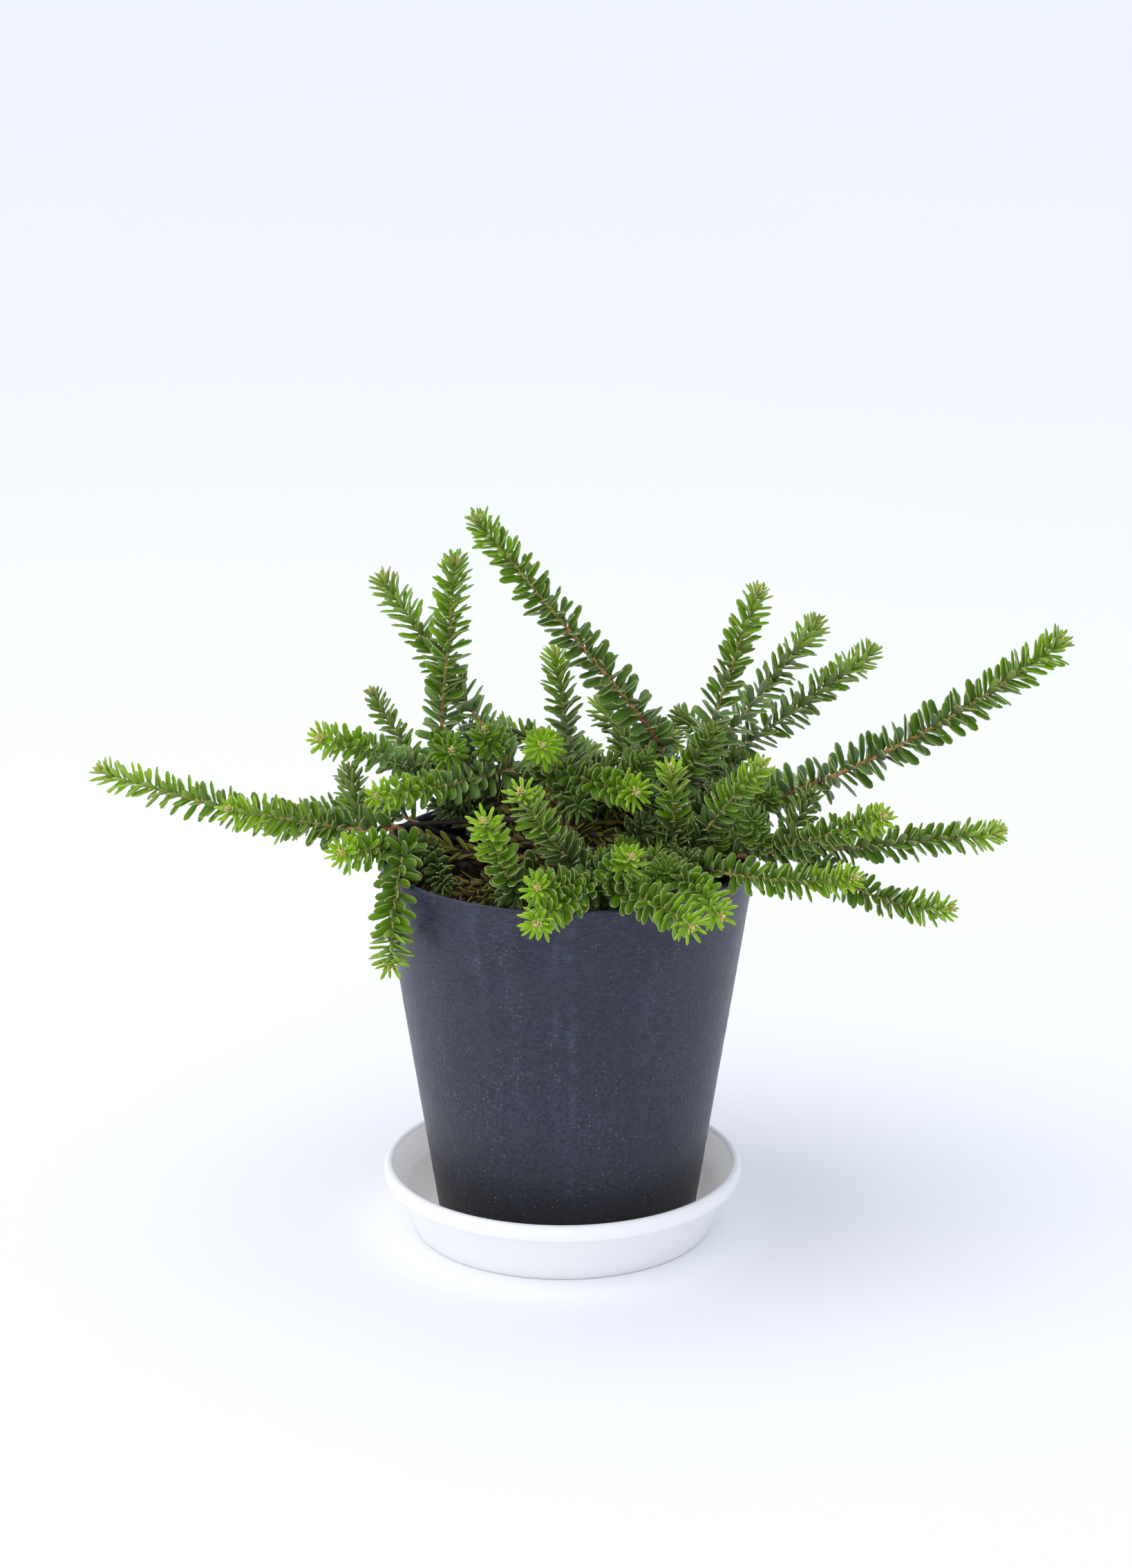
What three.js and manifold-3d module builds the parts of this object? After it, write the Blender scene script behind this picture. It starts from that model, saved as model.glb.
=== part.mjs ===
// Potted grevillea: a low spreading shrub in a tapered plastic pot, standing in a saucer with a rolled lip.
// Millimetres, +Z up, +X to the right and +Y away from the viewer.
// The origin is the centre of the saucer's flat underside.
import * as THREE from "three";
import { mergeVertices } from "three/addons/utils/BufferGeometryUtils.js";
import Module from "manifold-3d";

const wasm = await Module();
wasm.setup();

// Gap kept between neighbouring solids
const CLEAR = 0.3;

// Straight steps around a rounded rim
const RIM_STEPS = 4;

// Saucer
const SAUCER_FOOT_RADIUS = 59.5;
const SAUCER_LIP_RADIUS = 72.3;
const SAUCER_MOUTH_RADIUS = 68.4;
const SAUCER_HEIGHT = 27.6;
const SAUCER_FLOOR = 3;
const SAUCER_WALL = 2.4;
const SAUCER_LIP_DEPTH = 5.2;
const SAUCER_FOOT_ROUND = 1;
const SAUCER_SIDES = 44;

// Pot, set a little to the right of the saucer's centre
const POT_SHIFT = 1.9;
const POT_RIM_RADIUS = 75;
const POT_RIM_HEIGHT = 158.4;
const POT_FOOT_RADIUS = 51;
const POT_FOOT_ROUND = 2.5;
const POT_WALL = 2.8;
const POT_FLOOR = 3.5;
const POT_SIDES = 44;
const POT_FOOT_HEIGHT = SAUCER_FLOOR + CLEAR;

// Soil, level with a gentle crown towards the stem
const SOIL_DROP = 14;
const SOIL_CROWN = 2;
const SOIL_FLAT_RADIUS = 14;
const SOIL_SIDES = 32;
const SOIL_HEIGHT = POT_RIM_HEIGHT - SOIL_DROP;

// Short stem in the middle of the pot
const TRUNK_HEIGHT = 37;
const TRUNK_LEAN = 3;
const TRUNK_RADIUS = 7.2;
const TRUNK_TOP_RADIUS = 4.6;
const TRUNK_FLARE = 3.6;
const TRUNK_FLARE_HEIGHT = 0.12;
const TRUNK_SIDES = 10;
const TRUNK_STEPS = 9;

// Rings along a limb, trunk or shoot
const STATION_LOOK = 2;
const STATION_TURN = 10;
const STATION_RUN = 20;
const FIRST_NORMAL = [0.36, 0.48, 0.8];

// Limbs: the inner share of each is a bare bough, and the rest is the stem of a mass
const LIMB_LEVEL_RUN = 0.45;
const BOUGH_SHARE = 0.45;
const BOUGH_RADIUS = 2.2;
const BOUGH_END_RADIUS = 1.7;
const BOUGH_SIDES = 5;

// Shoots: three-sided twigs that carry the leaves
const SHOOT_RADIUS = 1.7;
const FORK_RADIUS = 1.4;
const SHOOT_TIP_RADIUS = 0.9;
const SHOOT_SIDES = 3;
const SHOOT_LEAD = 6;
const SHOOT_BEND_PLACE = 0.55;
const SHOOT_BEND_GAIN = 1.6;

// Leaves: oblongs in a spiral, drawn larger and fewer than life, with a tuft of smaller ones at the tip
const LEAF_LENGTH = 13;
const LEAF_WIDTH = 7.8;
const LEAF_THICKNESS = 1.1;
const LEAF_BROADEST = 0.62;
const LEAF_ROOM = 1;
const LEAF_SPACING = 8;
const LEAF_LEAST = 2;
const LEAF_BARE_BASE = 0.04;
const LEAF_TURN = 137.5;
const LEAF_BASE_ANGLE = 70;
const LEAF_TIP_ANGLE = 30;
const LEAF_CLOSING = 3;
const LEAF_LIFT = 0.15;
const LEAF_TIP_NARROWING = 0.35;
const LEAF_TIP_SHORTENING = 0.15;
const LEAF_VARIATION = 0.08;
const LEAF_TWIST = 65;
const TUFT_LEAVES = 3;
const TUFT_SINK = 2;
const TUFT_ANGLE = 28;
const TUFT_SIZE = 0.62;
const SEED = 7;

// How far a fused solid may be smoothed of slivers
const SLIVER = 0.05;

// The plant's limbs. A limb leaves the trunk at `start`, a share of the trunk's height, and ends at `reach`
// from the pot's axis on `heading` (degrees from +X towards +Y), `height` above the pot's rim.
// A mass's first shoot grows on from the limb's end; the others leave the first one at `on`, a share of it.
// A shoot runs `length` along its heading and rise (degrees), and `bow` lifts or sags its middle.
const MASSES = [
  {
    name: "left_arm",
    limb: { heading: 177, reach: 78, height: 7, start: 0.7 },
    shoots: [
      { heading: 171, rise: 10, length: 110, bow: -5 },
      { on: 0.08, heading: -161, rise: 15, length: 50, bow: 0 },
      { on: 0.03, heading: 102, rise: 27, length: 33, bow: -3 },
    ],
  },
  {
    name: "left_low",
    limb: { heading: -170, reach: 55, height: 5, start: 0.3 },
    shoots: [
      { heading: -135, rise: 10, length: 47, bow: 0 },
      { on: 0.16, heading: -102, rise: -42, length: 54, bow: 24 },
      { on: 0.05, heading: -72, rise: -15, length: 30, bow: 2 },
    ],
  },
  {
    name: "left_upper",
    limb: { heading: 152, reach: 63, height: 19, start: 0.36 },
    shoots: [
      { heading: -134, rise: 28, length: 66, bow: 3 },
      { on: 0.03, heading: 139, rise: 47, length: 41, bow: 0 },
    ],
  },
  {
    name: "tall_left",
    limb: { heading: 146, reach: 59, height: 30, start: 0.52 },
    shoots: [
      { heading: -63, rise: 83, length: 82, bow: 0 },
      { on: 0.04, heading: -82, rise: 12, length: 31, bow: 0 },
    ],
  },
  {
    name: "centre_left",
    limb: { heading: 132, reach: 30, height: 23, start: 0.68 },
    shoots: [
      { heading: 144, rise: 47, length: 97, bow: 0 },
      { on: 0.04, heading: -136, rise: 4, length: 72, bow: -2 },
      { on: 0.12, heading: -108, rise: 36, length: 25, bow: 0 },
    ],
  },
  {
    name: "centre",
    limb: { heading: 114, reach: 20, height: 26, start: 0.85 },
    shoots: [
      { heading: -92, rise: 31, length: 46, bow: 2 },
      { on: 0.1, heading: -52, rise: 3, length: 58, bow: -2 },
    ],
  },
  {
    name: "centre_back",
    limb: { heading: 87, reach: 38, height: 19, start: 0.63 },
    shoots: [
      { heading: 150, rise: 81, length: 50, bow: 0 },
      { on: 0.06, heading: 149, rise: 20, length: 36, bow: 3 },
    ],
  },
  {
    name: "front",
    limb: { heading: -78, reach: 57, height: 4, start: 0.36 },
    shoots: [
      { heading: -119, rise: -1, length: 48, bow: 5 },
      { on: 0.03, heading: -50, rise: -2, length: 54, bow: 4 },
      { on: 0.05, heading: -59, rise: 38, length: 30, bow: 0 },
      { on: 0.12, heading: -127, rise: 15, length: 38, bow: 0 },
      { on: 0.03, heading: -163, rise: 53, length: 51, bow: -6 },
    ],
  },
  {
    name: "front_left",
    limb: { heading: -109, reach: 58, height: 1, start: 0.5 },
    shoots: [{ heading: -120, rise: 55, length: 43, bow: 0 }],
  },
  {
    name: "rim_right",
    limb: { heading: -52, reach: 60, height: 5, start: 0.22 },
    shoots: [
      { heading: -62, rise: -3, length: 44, bow: 4 },
      { on: 0.06, heading: -95, rise: 25, length: 16, bow: 0 },
    ],
  },
  {
    name: "right_upright",
    limb: { heading: -24, reach: 44, height: 2, start: 0.58 },
    shoots: [
      { heading: -22, rise: 49, length: 57, bow: 0 },
      { on: 0.05, heading: -110, rise: 78, length: 40, bow: 0 },
    ],
  },
  {
    name: "tall_arch",
    limb: { heading: 31, reach: 43, height: 33, start: 0.85 },
    shoots: [{ heading: -155, rise: 53, length: 130, bow: 0 }],
  },
  {
    name: "right_tall",
    limb: { heading: 25, reach: 53, height: 23, start: 0.6 },
    shoots: [
      { heading: 8, rise: 70, length: 80, bow: 0 },
      { on: 0.05, heading: 41, rise: 36, length: 82, bow: -3 },
    ],
  },
  {
    name: "right_fan",
    limb: { heading: 40, reach: 84, height: 21, start: 0.36 },
    shoots: [
      { heading: 32, rise: 26, length: 79, bow: -2 },
      { on: 0.04, heading: 139, rise: 22, length: 30, bow: 0 },
    ],
  },
  {
    name: "right_arm",
    limb: { heading: 7, reach: 79, height: 17, start: 0.41 },
    shoots: [{ heading: -9, rise: 32, length: 134, bow: -10 }],
  },
  {
    name: "right_mid",
    limb: { heading: -11, reach: 75, height: 3, start: 0.25 },
    shoots: [
      { heading: 2, rise: 5, length: 96, bow: -2 },
      { on: 0.04, heading: -38, rise: 25, length: 61, bow: 0 },
      { on: 0.03, heading: -107, rise: 50, length: 26, bow: 0 },
      { on: 0.1, heading: 10, rise: 62, length: 26, bow: 0 },
      { on: 0.14, heading: -22, rise: -13, length: 67, bow: -8 },
    ],
  },
  {
    name: "right_low",
    limb: { heading: -34, reach: 60, height: 4, start: 0.41 },
    shoots: [{ heading: -27, rise: 5, length: 67, bow: -4 }],
  },
  {
    name: "back_centre",
    limb: { heading: 65, reach: 66, height: 19, start: 0.47 },
    shoots: [
      { heading: 117, rise: 26, length: 35, bow: 0 },
      { on: 0.06, heading: 72, rise: -10, length: 50, bow: 5 },
    ],
  },
  {
    name: "back_right",
    limb: { heading: 50, reach: 72, height: 4, start: 0.2 },
    shoots: [
      { heading: 35, rise: -6, length: 62, bow: 4 },
      { on: 0.1, heading: 72, rise: -24, length: 52, bow: 6 },
      { on: 0.06, heading: 8, rise: 2, length: 42, bow: 0 },
    ],
  },
  {
    name: "back_mid",
    limb: { heading: 88, reach: 70, height: 4, start: 0.16 },
    shoots: [
      { heading: 84, rise: -4, length: 62, bow: 4 },
      { on: 0.08, heading: 118, rise: -28, length: 46, bow: 6 },
      { on: 0.1, heading: 52, rise: -26, length: 46, bow: 6 },
    ],
  },
  {
    name: "back_left",
    limb: { heading: 121, reach: 70, height: 4, start: 0.28 },
    shoots: [
      { heading: 123, rise: -3, length: 60, bow: 4 },
      { on: 0.08, heading: 152, rise: -16, length: 46, bow: 5 },
      { on: 0.1, heading: 96, rise: -24, length: 46, bow: 6 },
    ],
  },
  {
    name: "back_far_left",
    limb: { heading: 153, reach: 74, height: 3, start: 0.17 },
    shoots: [
      { heading: 161, rise: -10, length: 58, bow: 4 },
      { on: 0.12, heading: 126, rise: -24, length: 46, bow: 6 },
    ],
  },
];

// Colours and finishes
const finish = (color, roughness) => new THREE.MeshStandardMaterial({ color, roughness, metalness: 0 });
const POT_FINISH = [0x3c4150, 0.6];
const SAUCER_FINISH = [0xe9e9e6, 0.35];
const SOIL_FINISH = [0x5a4030, 0.95];
const BARK_FINISH = [0x8c5434, 0.8];
const LEAF_FINISH = [0x55752f, 0.55];

const radians = THREE.MathUtils.degToRad;
const lerp = THREE.MathUtils.lerp;
const random = THREE.MathUtils.seededRandom;

// Unit direction with a heading from +X towards +Y and a rise above the level, both in degrees
function aim(heading, rise) {
  const level = Math.cos(radians(rise));
  return new THREE.Vector3(
    level * Math.cos(radians(heading)),
    level * Math.sin(radians(heading)),
    Math.sin(radians(rise)),
  );
}

// A solid of revolution about +Z from a profile of [radius, height] that goes up its outside
function turned(profile, sides) {
  const points = profile.map(([radius, height]) => new THREE.Vector2(radius, height));
  const geometry = new THREE.LatheGeometry(points, sides);
  return geometry.rotateX(Math.PI / 2);
}

function saucerGeometry() {
  const lipMiddle = (SAUCER_LIP_RADIUS + SAUCER_MOUTH_RADIUS) / 2;
  const lipHalf = (SAUCER_LIP_RADIUS - SAUCER_MOUTH_RADIUS) / 2;
  const lipFoot = SAUCER_HEIGHT - SAUCER_LIP_DEPTH;
  const crown = new THREE.EllipseCurve(lipMiddle, SAUCER_HEIGHT - lipHalf, lipHalf, lipHalf, 0, Math.PI);
  const wallTop = SAUCER_MOUTH_RADIUS - SAUCER_WALL / 2;
  return turned(
    [
      [0, 0],
      [SAUCER_FOOT_RADIUS - SAUCER_FOOT_ROUND, 0],
      [SAUCER_FOOT_RADIUS, SAUCER_FOOT_ROUND],
      [wallTop + SAUCER_WALL / 2, lipFoot],
      [SAUCER_LIP_RADIUS - lipHalf / 2, lipFoot],
      ...crown.getPoints(RIM_STEPS).map((point) => [point.x, point.y]),
      [wallTop - SAUCER_WALL / 2, lipFoot],
      [SAUCER_FOOT_RADIUS - SAUCER_WALL, SAUCER_FLOOR],
      [0, SAUCER_FLOOR],
    ],
    SAUCER_SIDES,
  );
}

// The pot's outer radius at a height
function potRadius(height) {
  const share = (height - POT_FOOT_HEIGHT) / (POT_RIM_HEIGHT - POT_FOOT_HEIGHT);
  return lerp(POT_FOOT_RADIUS, POT_RIM_RADIUS, share);
}

function potGeometry() {
  const rimRound = POT_WALL / 2;
  const rim = new THREE.EllipseCurve(
    POT_RIM_RADIUS - rimRound,
    POT_RIM_HEIGHT - rimRound,
    rimRound,
    rimRound,
    0,
    Math.PI,
  );
  const inside = POT_FOOT_HEIGHT + POT_FLOOR;
  return turned(
    [
      [0, POT_FOOT_HEIGHT],
      [POT_FOOT_RADIUS - POT_FOOT_ROUND, POT_FOOT_HEIGHT],
      [potRadius(POT_FOOT_HEIGHT + POT_FOOT_ROUND), POT_FOOT_HEIGHT + POT_FOOT_ROUND],
      ...rim.getPoints(RIM_STEPS).map((point) => [point.x, point.y]),
      [potRadius(inside) - POT_WALL, inside],
      [0, inside],
    ],
    POT_SIDES,
  );
}

function soilGeometry() {
  const foot = POT_FOOT_HEIGHT + POT_FLOOR + CLEAR;
  const gap = POT_WALL + 2 * CLEAR;
  const edge = SOIL_HEIGHT - SOIL_CROWN;
  return turned(
    [
      [0, foot],
      [potRadius(foot) - gap, foot],
      [potRadius(edge) - gap, edge],
      [SOIL_FLAT_RADIUS, SOIL_HEIGHT],
      [0, SOIL_HEIGHT],
    ],
    SOIL_SIDES,
  );
}

// Shares of a curve's length that get a ring: one after each turn of STATION_TURN or run of STATION_RUN
function stations(curve) {
  const length = curve.getLength();
  const looks = Math.ceil(length / STATION_LOOK);
  const shares = [0];
  let lastTangent = curve.getTangentAt(0);
  let turn = 0;
  let run = 0;
  for (let look = 1; look < looks; look++) {
    const tangent = curve.getTangentAt(look / looks);
    turn += tangent.angleTo(lastTangent);
    run += length / looks;
    lastTangent = tangent;
    if (turn < radians(STATION_TURN) && run < STATION_RUN) continue;
    shares.push(look / looks);
    turn = 0;
    run = 0;
  }
  return [...shares, 1];
}

// A point and three square directions at each share of a curve, carried along it without twisting
function framesAlong(curve, shares) {
  const normal = new THREE.Vector3(...FIRST_NORMAL);
  return shares.map((share) => {
    const tangent = curve.getTangentAt(share);
    normal.addScaledVector(tangent, -normal.dot(tangent)).normalize();
    const binormal = new THREE.Vector3().crossVectors(tangent, normal);
    return { point: curve.getPointAt(share), tangent, normal: normal.clone(), binormal };
  });
}

// A closed limb along a curve: rings of a few sides, whose radius changes along it, with flat ends
function limbGeometry(curve, radiusAt, sides, shares = stations(curve)) {
  const points = framesAlong(curve, shares).flatMap(({ point, normal, binormal }, ring) => {
    const radius = radiusAt(shares[ring]);
    return Array.from({ length: sides }, (_, side) => {
      const angle = (2 * Math.PI * side) / sides;
      return point
        .clone()
        .addScaledVector(normal, radius * Math.cos(angle))
        .addScaledVector(binormal, radius * Math.sin(angle));
    });
  });
  const faces = [];
  for (let ring = 0; ring < shares.length - 1; ring++) {
    for (let side = 0; side < sides; side++) {
      const here = ring * sides + side;
      const beside = ring * sides + ((side + 1) % sides);
      faces.push(here, beside, beside + sides, here, beside + sides, here + sides);
    }
  }
  const last = points.length - sides;
  for (let side = 1; side < sides - 1; side++) {
    faces.push(0, side + 1, side, last, last + side, last + side + 1);
  }
  const geometry = new THREE.BufferGeometry().setFromPoints(points);
  geometry.setIndex(faces);
  return geometry;
}

// Corners of a leaf from its root along `along`, with its face towards `face`: the root, a broad corner,
// the tip, the other broad corner, and the crest of its upper side
function leafCorners(root, along, face, length, width) {
  const across = new THREE.Vector3().crossVectors(face, along);
  const broad = root.clone().addScaledVector(along, LEAF_BROADEST * length);
  return [
    root,
    broad.clone().addScaledVector(across, width / 2),
    root.clone().addScaledVector(along, length),
    broad.clone().addScaledVector(across, -width / 2),
    broad.clone().addScaledVector(face, LEAF_THICKNESS),
  ];
}

const LEAF_FACES = [
  [0, 4, 1],
  [1, 4, 2],
  [2, 4, 3],
  [3, 4, 0],
  [0, 1, 2],
  [0, 2, 3],
];
const LEAF_EDGES = [
  [0, 1],
  [1, 2],
  [2, 3],
  [3, 0],
  [0, 2],
];

function leafGeometry(corners) {
  const geometry = new THREE.BufferGeometry().setFromPoints(corners);
  geometry.setIndex(LEAF_FACES.flat());
  return geometry;
}

// A geometry as a solid that can be joined
function solidOf(geometry) {
  const bare = geometry.clone();
  bare.deleteAttribute("normal");
  bare.deleteAttribute("uv");
  const merged = mergeVertices(bare);
  return new wasm.Manifold(
    new wasm.Mesh({
      numProp: 3,
      vertProperties: merged.attributes.position.array,
      triVerts: new Uint32Array(merged.index.array),
    }),
  );
}

// The main body of several joined geometries, without scraps or sealed hollows, as one geometry
function fuse(geometries) {
  const joined = wasm.Manifold.union(geometries.map(solidOf)).simplify(SLIVER);
  const bodies = joined.decompose();
  const main = bodies.reduce((best, body) => (body.volume() > best.volume() ? body : best));
  const mesh = main.getMesh();
  const geometry = new THREE.BufferGeometry();
  geometry.setAttribute("position", new THREE.BufferAttribute(mesh.vertProperties, 3));
  geometry.setIndex(new THREE.BufferAttribute(mesh.triVerts, 1));
  return geometry;
}

// Space that limbs and leaves already hold, as rods under a node's name
const held = [];

function hold(node, rod, radius) {
  held.push({ node, rod, radius, middle: rod.getCenter(new THREE.Vector3()), half: rod.distance() / 2 });
}

function holdCurve(node, curve, radiusAt, shares = stations(curve)) {
  for (let step = 1; step < shares.length; step++) {
    const rod = new THREE.Line3(curve.getPointAt(shares[step - 1]), curve.getPointAt(shares[step]));
    hold(node, rod, radiusAt(shares[step - 1]));
  }
}

// Whether a rod keeps clear of every other node's rods
function isFree(node, rod, radius) {
  const middle = rod.getCenter(new THREE.Vector3());
  const half = rod.distance() / 2;
  return held.every((other) => {
    if (other.node === node) return true;
    const room = radius + other.radius + CLEAR;
    if (middle.distanceTo(other.middle) > half + other.half + room) return true;
    return rod.distanceSqToLine3(other.rod) > room * room;
  });
}

const ROD_SHARES = [0, 0.25, 0.5, 0.75, 1];

// Whether a rod keeps clear of the pot's wall and of the soil
function isClearOfPot(rod, radius) {
  const room = radius + CLEAR;
  return ROD_SHARES.every((share) => {
    const point = rod.at(share, new THREE.Vector3());
    const outward = Math.hypot(point.x, point.y);
    if (point.z > POT_RIM_HEIGHT + room) return true;
    if (outward > potRadius(point.z) + room) return true;
    return outward < potRadius(point.z) - POT_WALL - room && point.z > SOIL_HEIGHT + room;
  });
}

// The trunk: upright at its foot, then leaning back
const trunkFoot = new THREE.Vector3(0, 0, SOIL_HEIGHT + CLEAR);
const trunkTop = new THREE.Vector3(0, TRUNK_LEAN, trunkFoot.z + TRUNK_HEIGHT);
const trunkBend = new THREE.Vector3(0, 0, trunkFoot.z + TRUNK_HEIGHT / 2);
const trunkCurve = new THREE.QuadraticBezierCurve3(trunkFoot, trunkBend, trunkTop);

const trunkRings = Array.from({ length: TRUNK_STEPS + 1 }, (_, ring) => ring / TRUNK_STEPS);

function trunkRadius(share) {
  const flare = TRUNK_FLARE * Math.exp(-share / TRUNK_FLARE_HEIGHT);
  return lerp(TRUNK_RADIUS, TRUNK_TOP_RADIUS, share) + flare;
}

// A limb leaves the trunk level, straight outwards, and then bends to its end
function limbCurve({ heading, reach, height, start }) {
  const outward = aim(heading, 0);
  const lowEdge = Math.max(0, start - BOUGH_RADIUS / TRUNK_HEIGHT);
  const foot = trunkCurve.getPointAt(start).addScaledVector(outward, trunkRadius(lowEdge) + CLEAR);
  const end = outward.clone().multiplyScalar(reach);
  end.z = POT_RIM_HEIGHT + height;
  const run = foot.clone().sub(end).setZ(0).length();
  const bend = foot.clone().addScaledVector(outward, LIMB_LEVEL_RUN * run);
  return new THREE.QuadraticBezierCurve3(foot, bend, end);
}

// The bare bough and the leafy stem of a limb, cut at BOUGH_SHARE with a clear gap between them
function cutLimb({ v0: foot, v1: bend, v2: end }) {
  const before = foot.clone().lerp(bend, BOUGH_SHARE);
  const after = bend.clone().lerp(end, BOUGH_SHARE);
  const cut = before.clone().lerp(after, BOUGH_SHARE);
  const onward = after.clone().sub(cut).normalize();
  const stemFoot = cut.clone().addScaledVector(onward, CLEAR);
  return {
    bough: new THREE.QuadraticBezierCurve3(foot, before, cut),
    stem: new THREE.QuadraticBezierCurve3(stemFoot, after, end),
  };
}

// A shoot leaves its base along `lead`, and bends to its own heading and rise
function shootCurve(base, lead, { heading, rise, length, bow }) {
  const tip = base.clone().addScaledVector(aim(heading, rise), length);
  const start = base.clone().addScaledVector(lead, SHOOT_LEAD);
  const bend = base.clone().lerp(tip, SHOOT_BEND_PLACE);
  bend.z += SHOOT_BEND_GAIN * bow;
  return new THREE.CubicBezierCurve3(base, start, bend, tip);
}

// The shoots of a mass: the first carries the limb's stem on, the rest leave the first one
function growShoots(sizes, stem) {
  const [first, ...others] = sizes;
  const leader = shootCurve(stem.v2, stem.getTangentAt(1), first);
  const whole = new THREE.CurvePath();
  whole.add(stem);
  whole.add(leader);
  const forks = others.map((size) => {
    const lead = aim(size.heading, size.rise);
    return { curve: shootCurve(leader.getPointAt(size.on), lead, size), radius: FORK_RADIUS };
  });
  return [{ curve: whole, radius: SHOOT_RADIUS }, ...forks];
}

const boughRadius = (share) => lerp(BOUGH_RADIUS, BOUGH_END_RADIUS, share);
const shootRadius = (shoot) => (share) => lerp(shoot.radius, SHOOT_TIP_RADIUS, share);

// Leaves of a shoot: a spiral of spreading leaves, closer to the stem and narrower towards the tip,
// with a small tuft at the end; a leaf that would touch another limb, mass or the pot is left out
function growLeaves(node, { curve }) {
  const run = curve.getLength();
  const count = Math.max(LEAF_LEAST, Math.round((run * (1 - LEAF_BARE_BASE)) / LEAF_SPACING));
  const spiral = Array.from({ length: count }, (_, place) =>
    lerp(LEAF_BARE_BASE, 1, (place + 0.5) / count),
  );
  const tuft = Array(TUFT_LEAVES).fill(1 - TUFT_SINK / run);
  const shares = [...spiral, ...tuft];
  const firstTurn = 360 * random();
  const leaves = [];
  framesAlong(curve, shares).forEach(({ point, tangent, normal, binormal }, place) => {
    const share = shares[place];
    const inTuft = place >= count;
    const turn = radians(firstTurn + LEAF_TURN * place);
    const opening = lerp(LEAF_BASE_ANGLE, LEAF_TIP_ANGLE, share ** LEAF_CLOSING);
    const spread = radians(inTuft ? TUFT_ANGLE : opening);
    const along = new THREE.Vector3()
      .addScaledVector(tangent, Math.cos(spread))
      .addScaledVector(normal, Math.sin(spread) * Math.cos(turn))
      .addScaledVector(binormal, Math.sin(spread) * Math.sin(turn));
    along.z += LEAF_LIFT;
    along.normalize();
    const face = tangent.clone().addScaledVector(along, -tangent.dot(along)).normalize();
    face.applyAxisAngle(along, radians(LEAF_TWIST) * (2 * random() - 1));
    const size = inTuft ? TUFT_SIZE : 1 - LEAF_TIP_SHORTENING * share;
    const length = LEAF_LENGTH * size * lerp(1 - LEAF_VARIATION, 1 + LEAF_VARIATION, random());
    const width = LEAF_WIDTH * (1 - LEAF_TIP_NARROWING * share);
    const corners = leafCorners(point, along, face, length, width);
    const rods = LEAF_EDGES.map(([from, to]) => new THREE.Line3(corners[from], corners[to]));
    const fits = rods.every((rod) => isFree(node, rod, LEAF_ROOM) && isClearOfPot(rod, LEAF_ROOM));
    if (!fits) return;
    for (const rod of rods) hold(node, rod, LEAF_ROOM);
    leaves.push(leafGeometry(corners));
  });
  return leaves;
}

const part = new THREE.Group();
const planting = new THREE.Group();
planting.position.x = POT_SHIFT;
part.add(planting);

function addMesh(parent, name, geometry, [color, roughness]) {
  const mesh = new THREE.Mesh(geometry, finish(color, roughness));
  mesh.name = name;
  parent.add(mesh);
}

addMesh(part, "saucer", saucerGeometry(), SAUCER_FINISH);
addMesh(planting, "pot", potGeometry(), POT_FINISH);
addMesh(planting, "soil", soilGeometry(), SOIL_FINISH);
addMesh(planting, "trunk", limbGeometry(trunkCurve, trunkRadius, TRUNK_SIDES, trunkRings), BARK_FINISH);
holdCurve("trunk", trunkCurve, trunkRadius, trunkRings);

// All limbs take their space first, so that no leaf stands in one
random(SEED);
const grown = MASSES.map((mass) => {
  const { bough, stem } = cutLimb(limbCurve(mass.limb));
  const boughNode = `bough_${mass.name}`;
  addMesh(planting, boughNode, limbGeometry(bough, boughRadius, BOUGH_SIDES), BARK_FINISH);
  holdCurve(boughNode, bough, boughRadius);
  const node = `foliage_${mass.name}`;
  const shoots = growShoots(mass.shoots, stem);
  for (const shoot of shoots) holdCurve(node, shoot.curve, shootRadius(shoot));
  return { node, shoots };
});

for (const { node, shoots } of grown) {
  const twigs = shoots.map((shoot) => limbGeometry(shoot.curve, shootRadius(shoot), SHOOT_SIDES));
  const leaves = shoots.flatMap((shoot) => growLeaves(node, shoot));
  addMesh(planting, node, fuse([...twigs, ...leaves]), LEAF_FINISH);
}

export default part;
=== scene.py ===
import math

import bpy
import numpy as np
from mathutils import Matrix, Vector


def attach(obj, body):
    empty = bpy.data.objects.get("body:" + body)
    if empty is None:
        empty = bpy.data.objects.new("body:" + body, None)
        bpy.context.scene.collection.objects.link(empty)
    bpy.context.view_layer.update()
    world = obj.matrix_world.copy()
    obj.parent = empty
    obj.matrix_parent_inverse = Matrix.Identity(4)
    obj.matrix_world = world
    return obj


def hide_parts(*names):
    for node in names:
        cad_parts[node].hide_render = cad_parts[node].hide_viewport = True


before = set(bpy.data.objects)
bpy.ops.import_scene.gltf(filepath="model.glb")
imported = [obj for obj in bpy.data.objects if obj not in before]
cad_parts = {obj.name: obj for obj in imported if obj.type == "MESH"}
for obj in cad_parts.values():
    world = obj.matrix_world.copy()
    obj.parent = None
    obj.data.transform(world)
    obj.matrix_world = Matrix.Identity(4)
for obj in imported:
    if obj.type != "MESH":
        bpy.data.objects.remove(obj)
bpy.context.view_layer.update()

scene = bpy.context.scene
mm = 0.001
fullTurn = 2 * np.pi
leafDraw = np.random.default_rng(7)
twigDraw = np.random.default_rng(19)
reliefDraw = np.random.default_rng(23)
soilDraw = np.random.default_rng(31)
foliageNodes = sorted(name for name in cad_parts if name.startswith("foliage_"))
boughNodes = sorted(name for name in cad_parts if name.startswith("bough_"))
print("frame:", len(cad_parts), "nodes,", len(foliageNodes), "masses of foliage")


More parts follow.
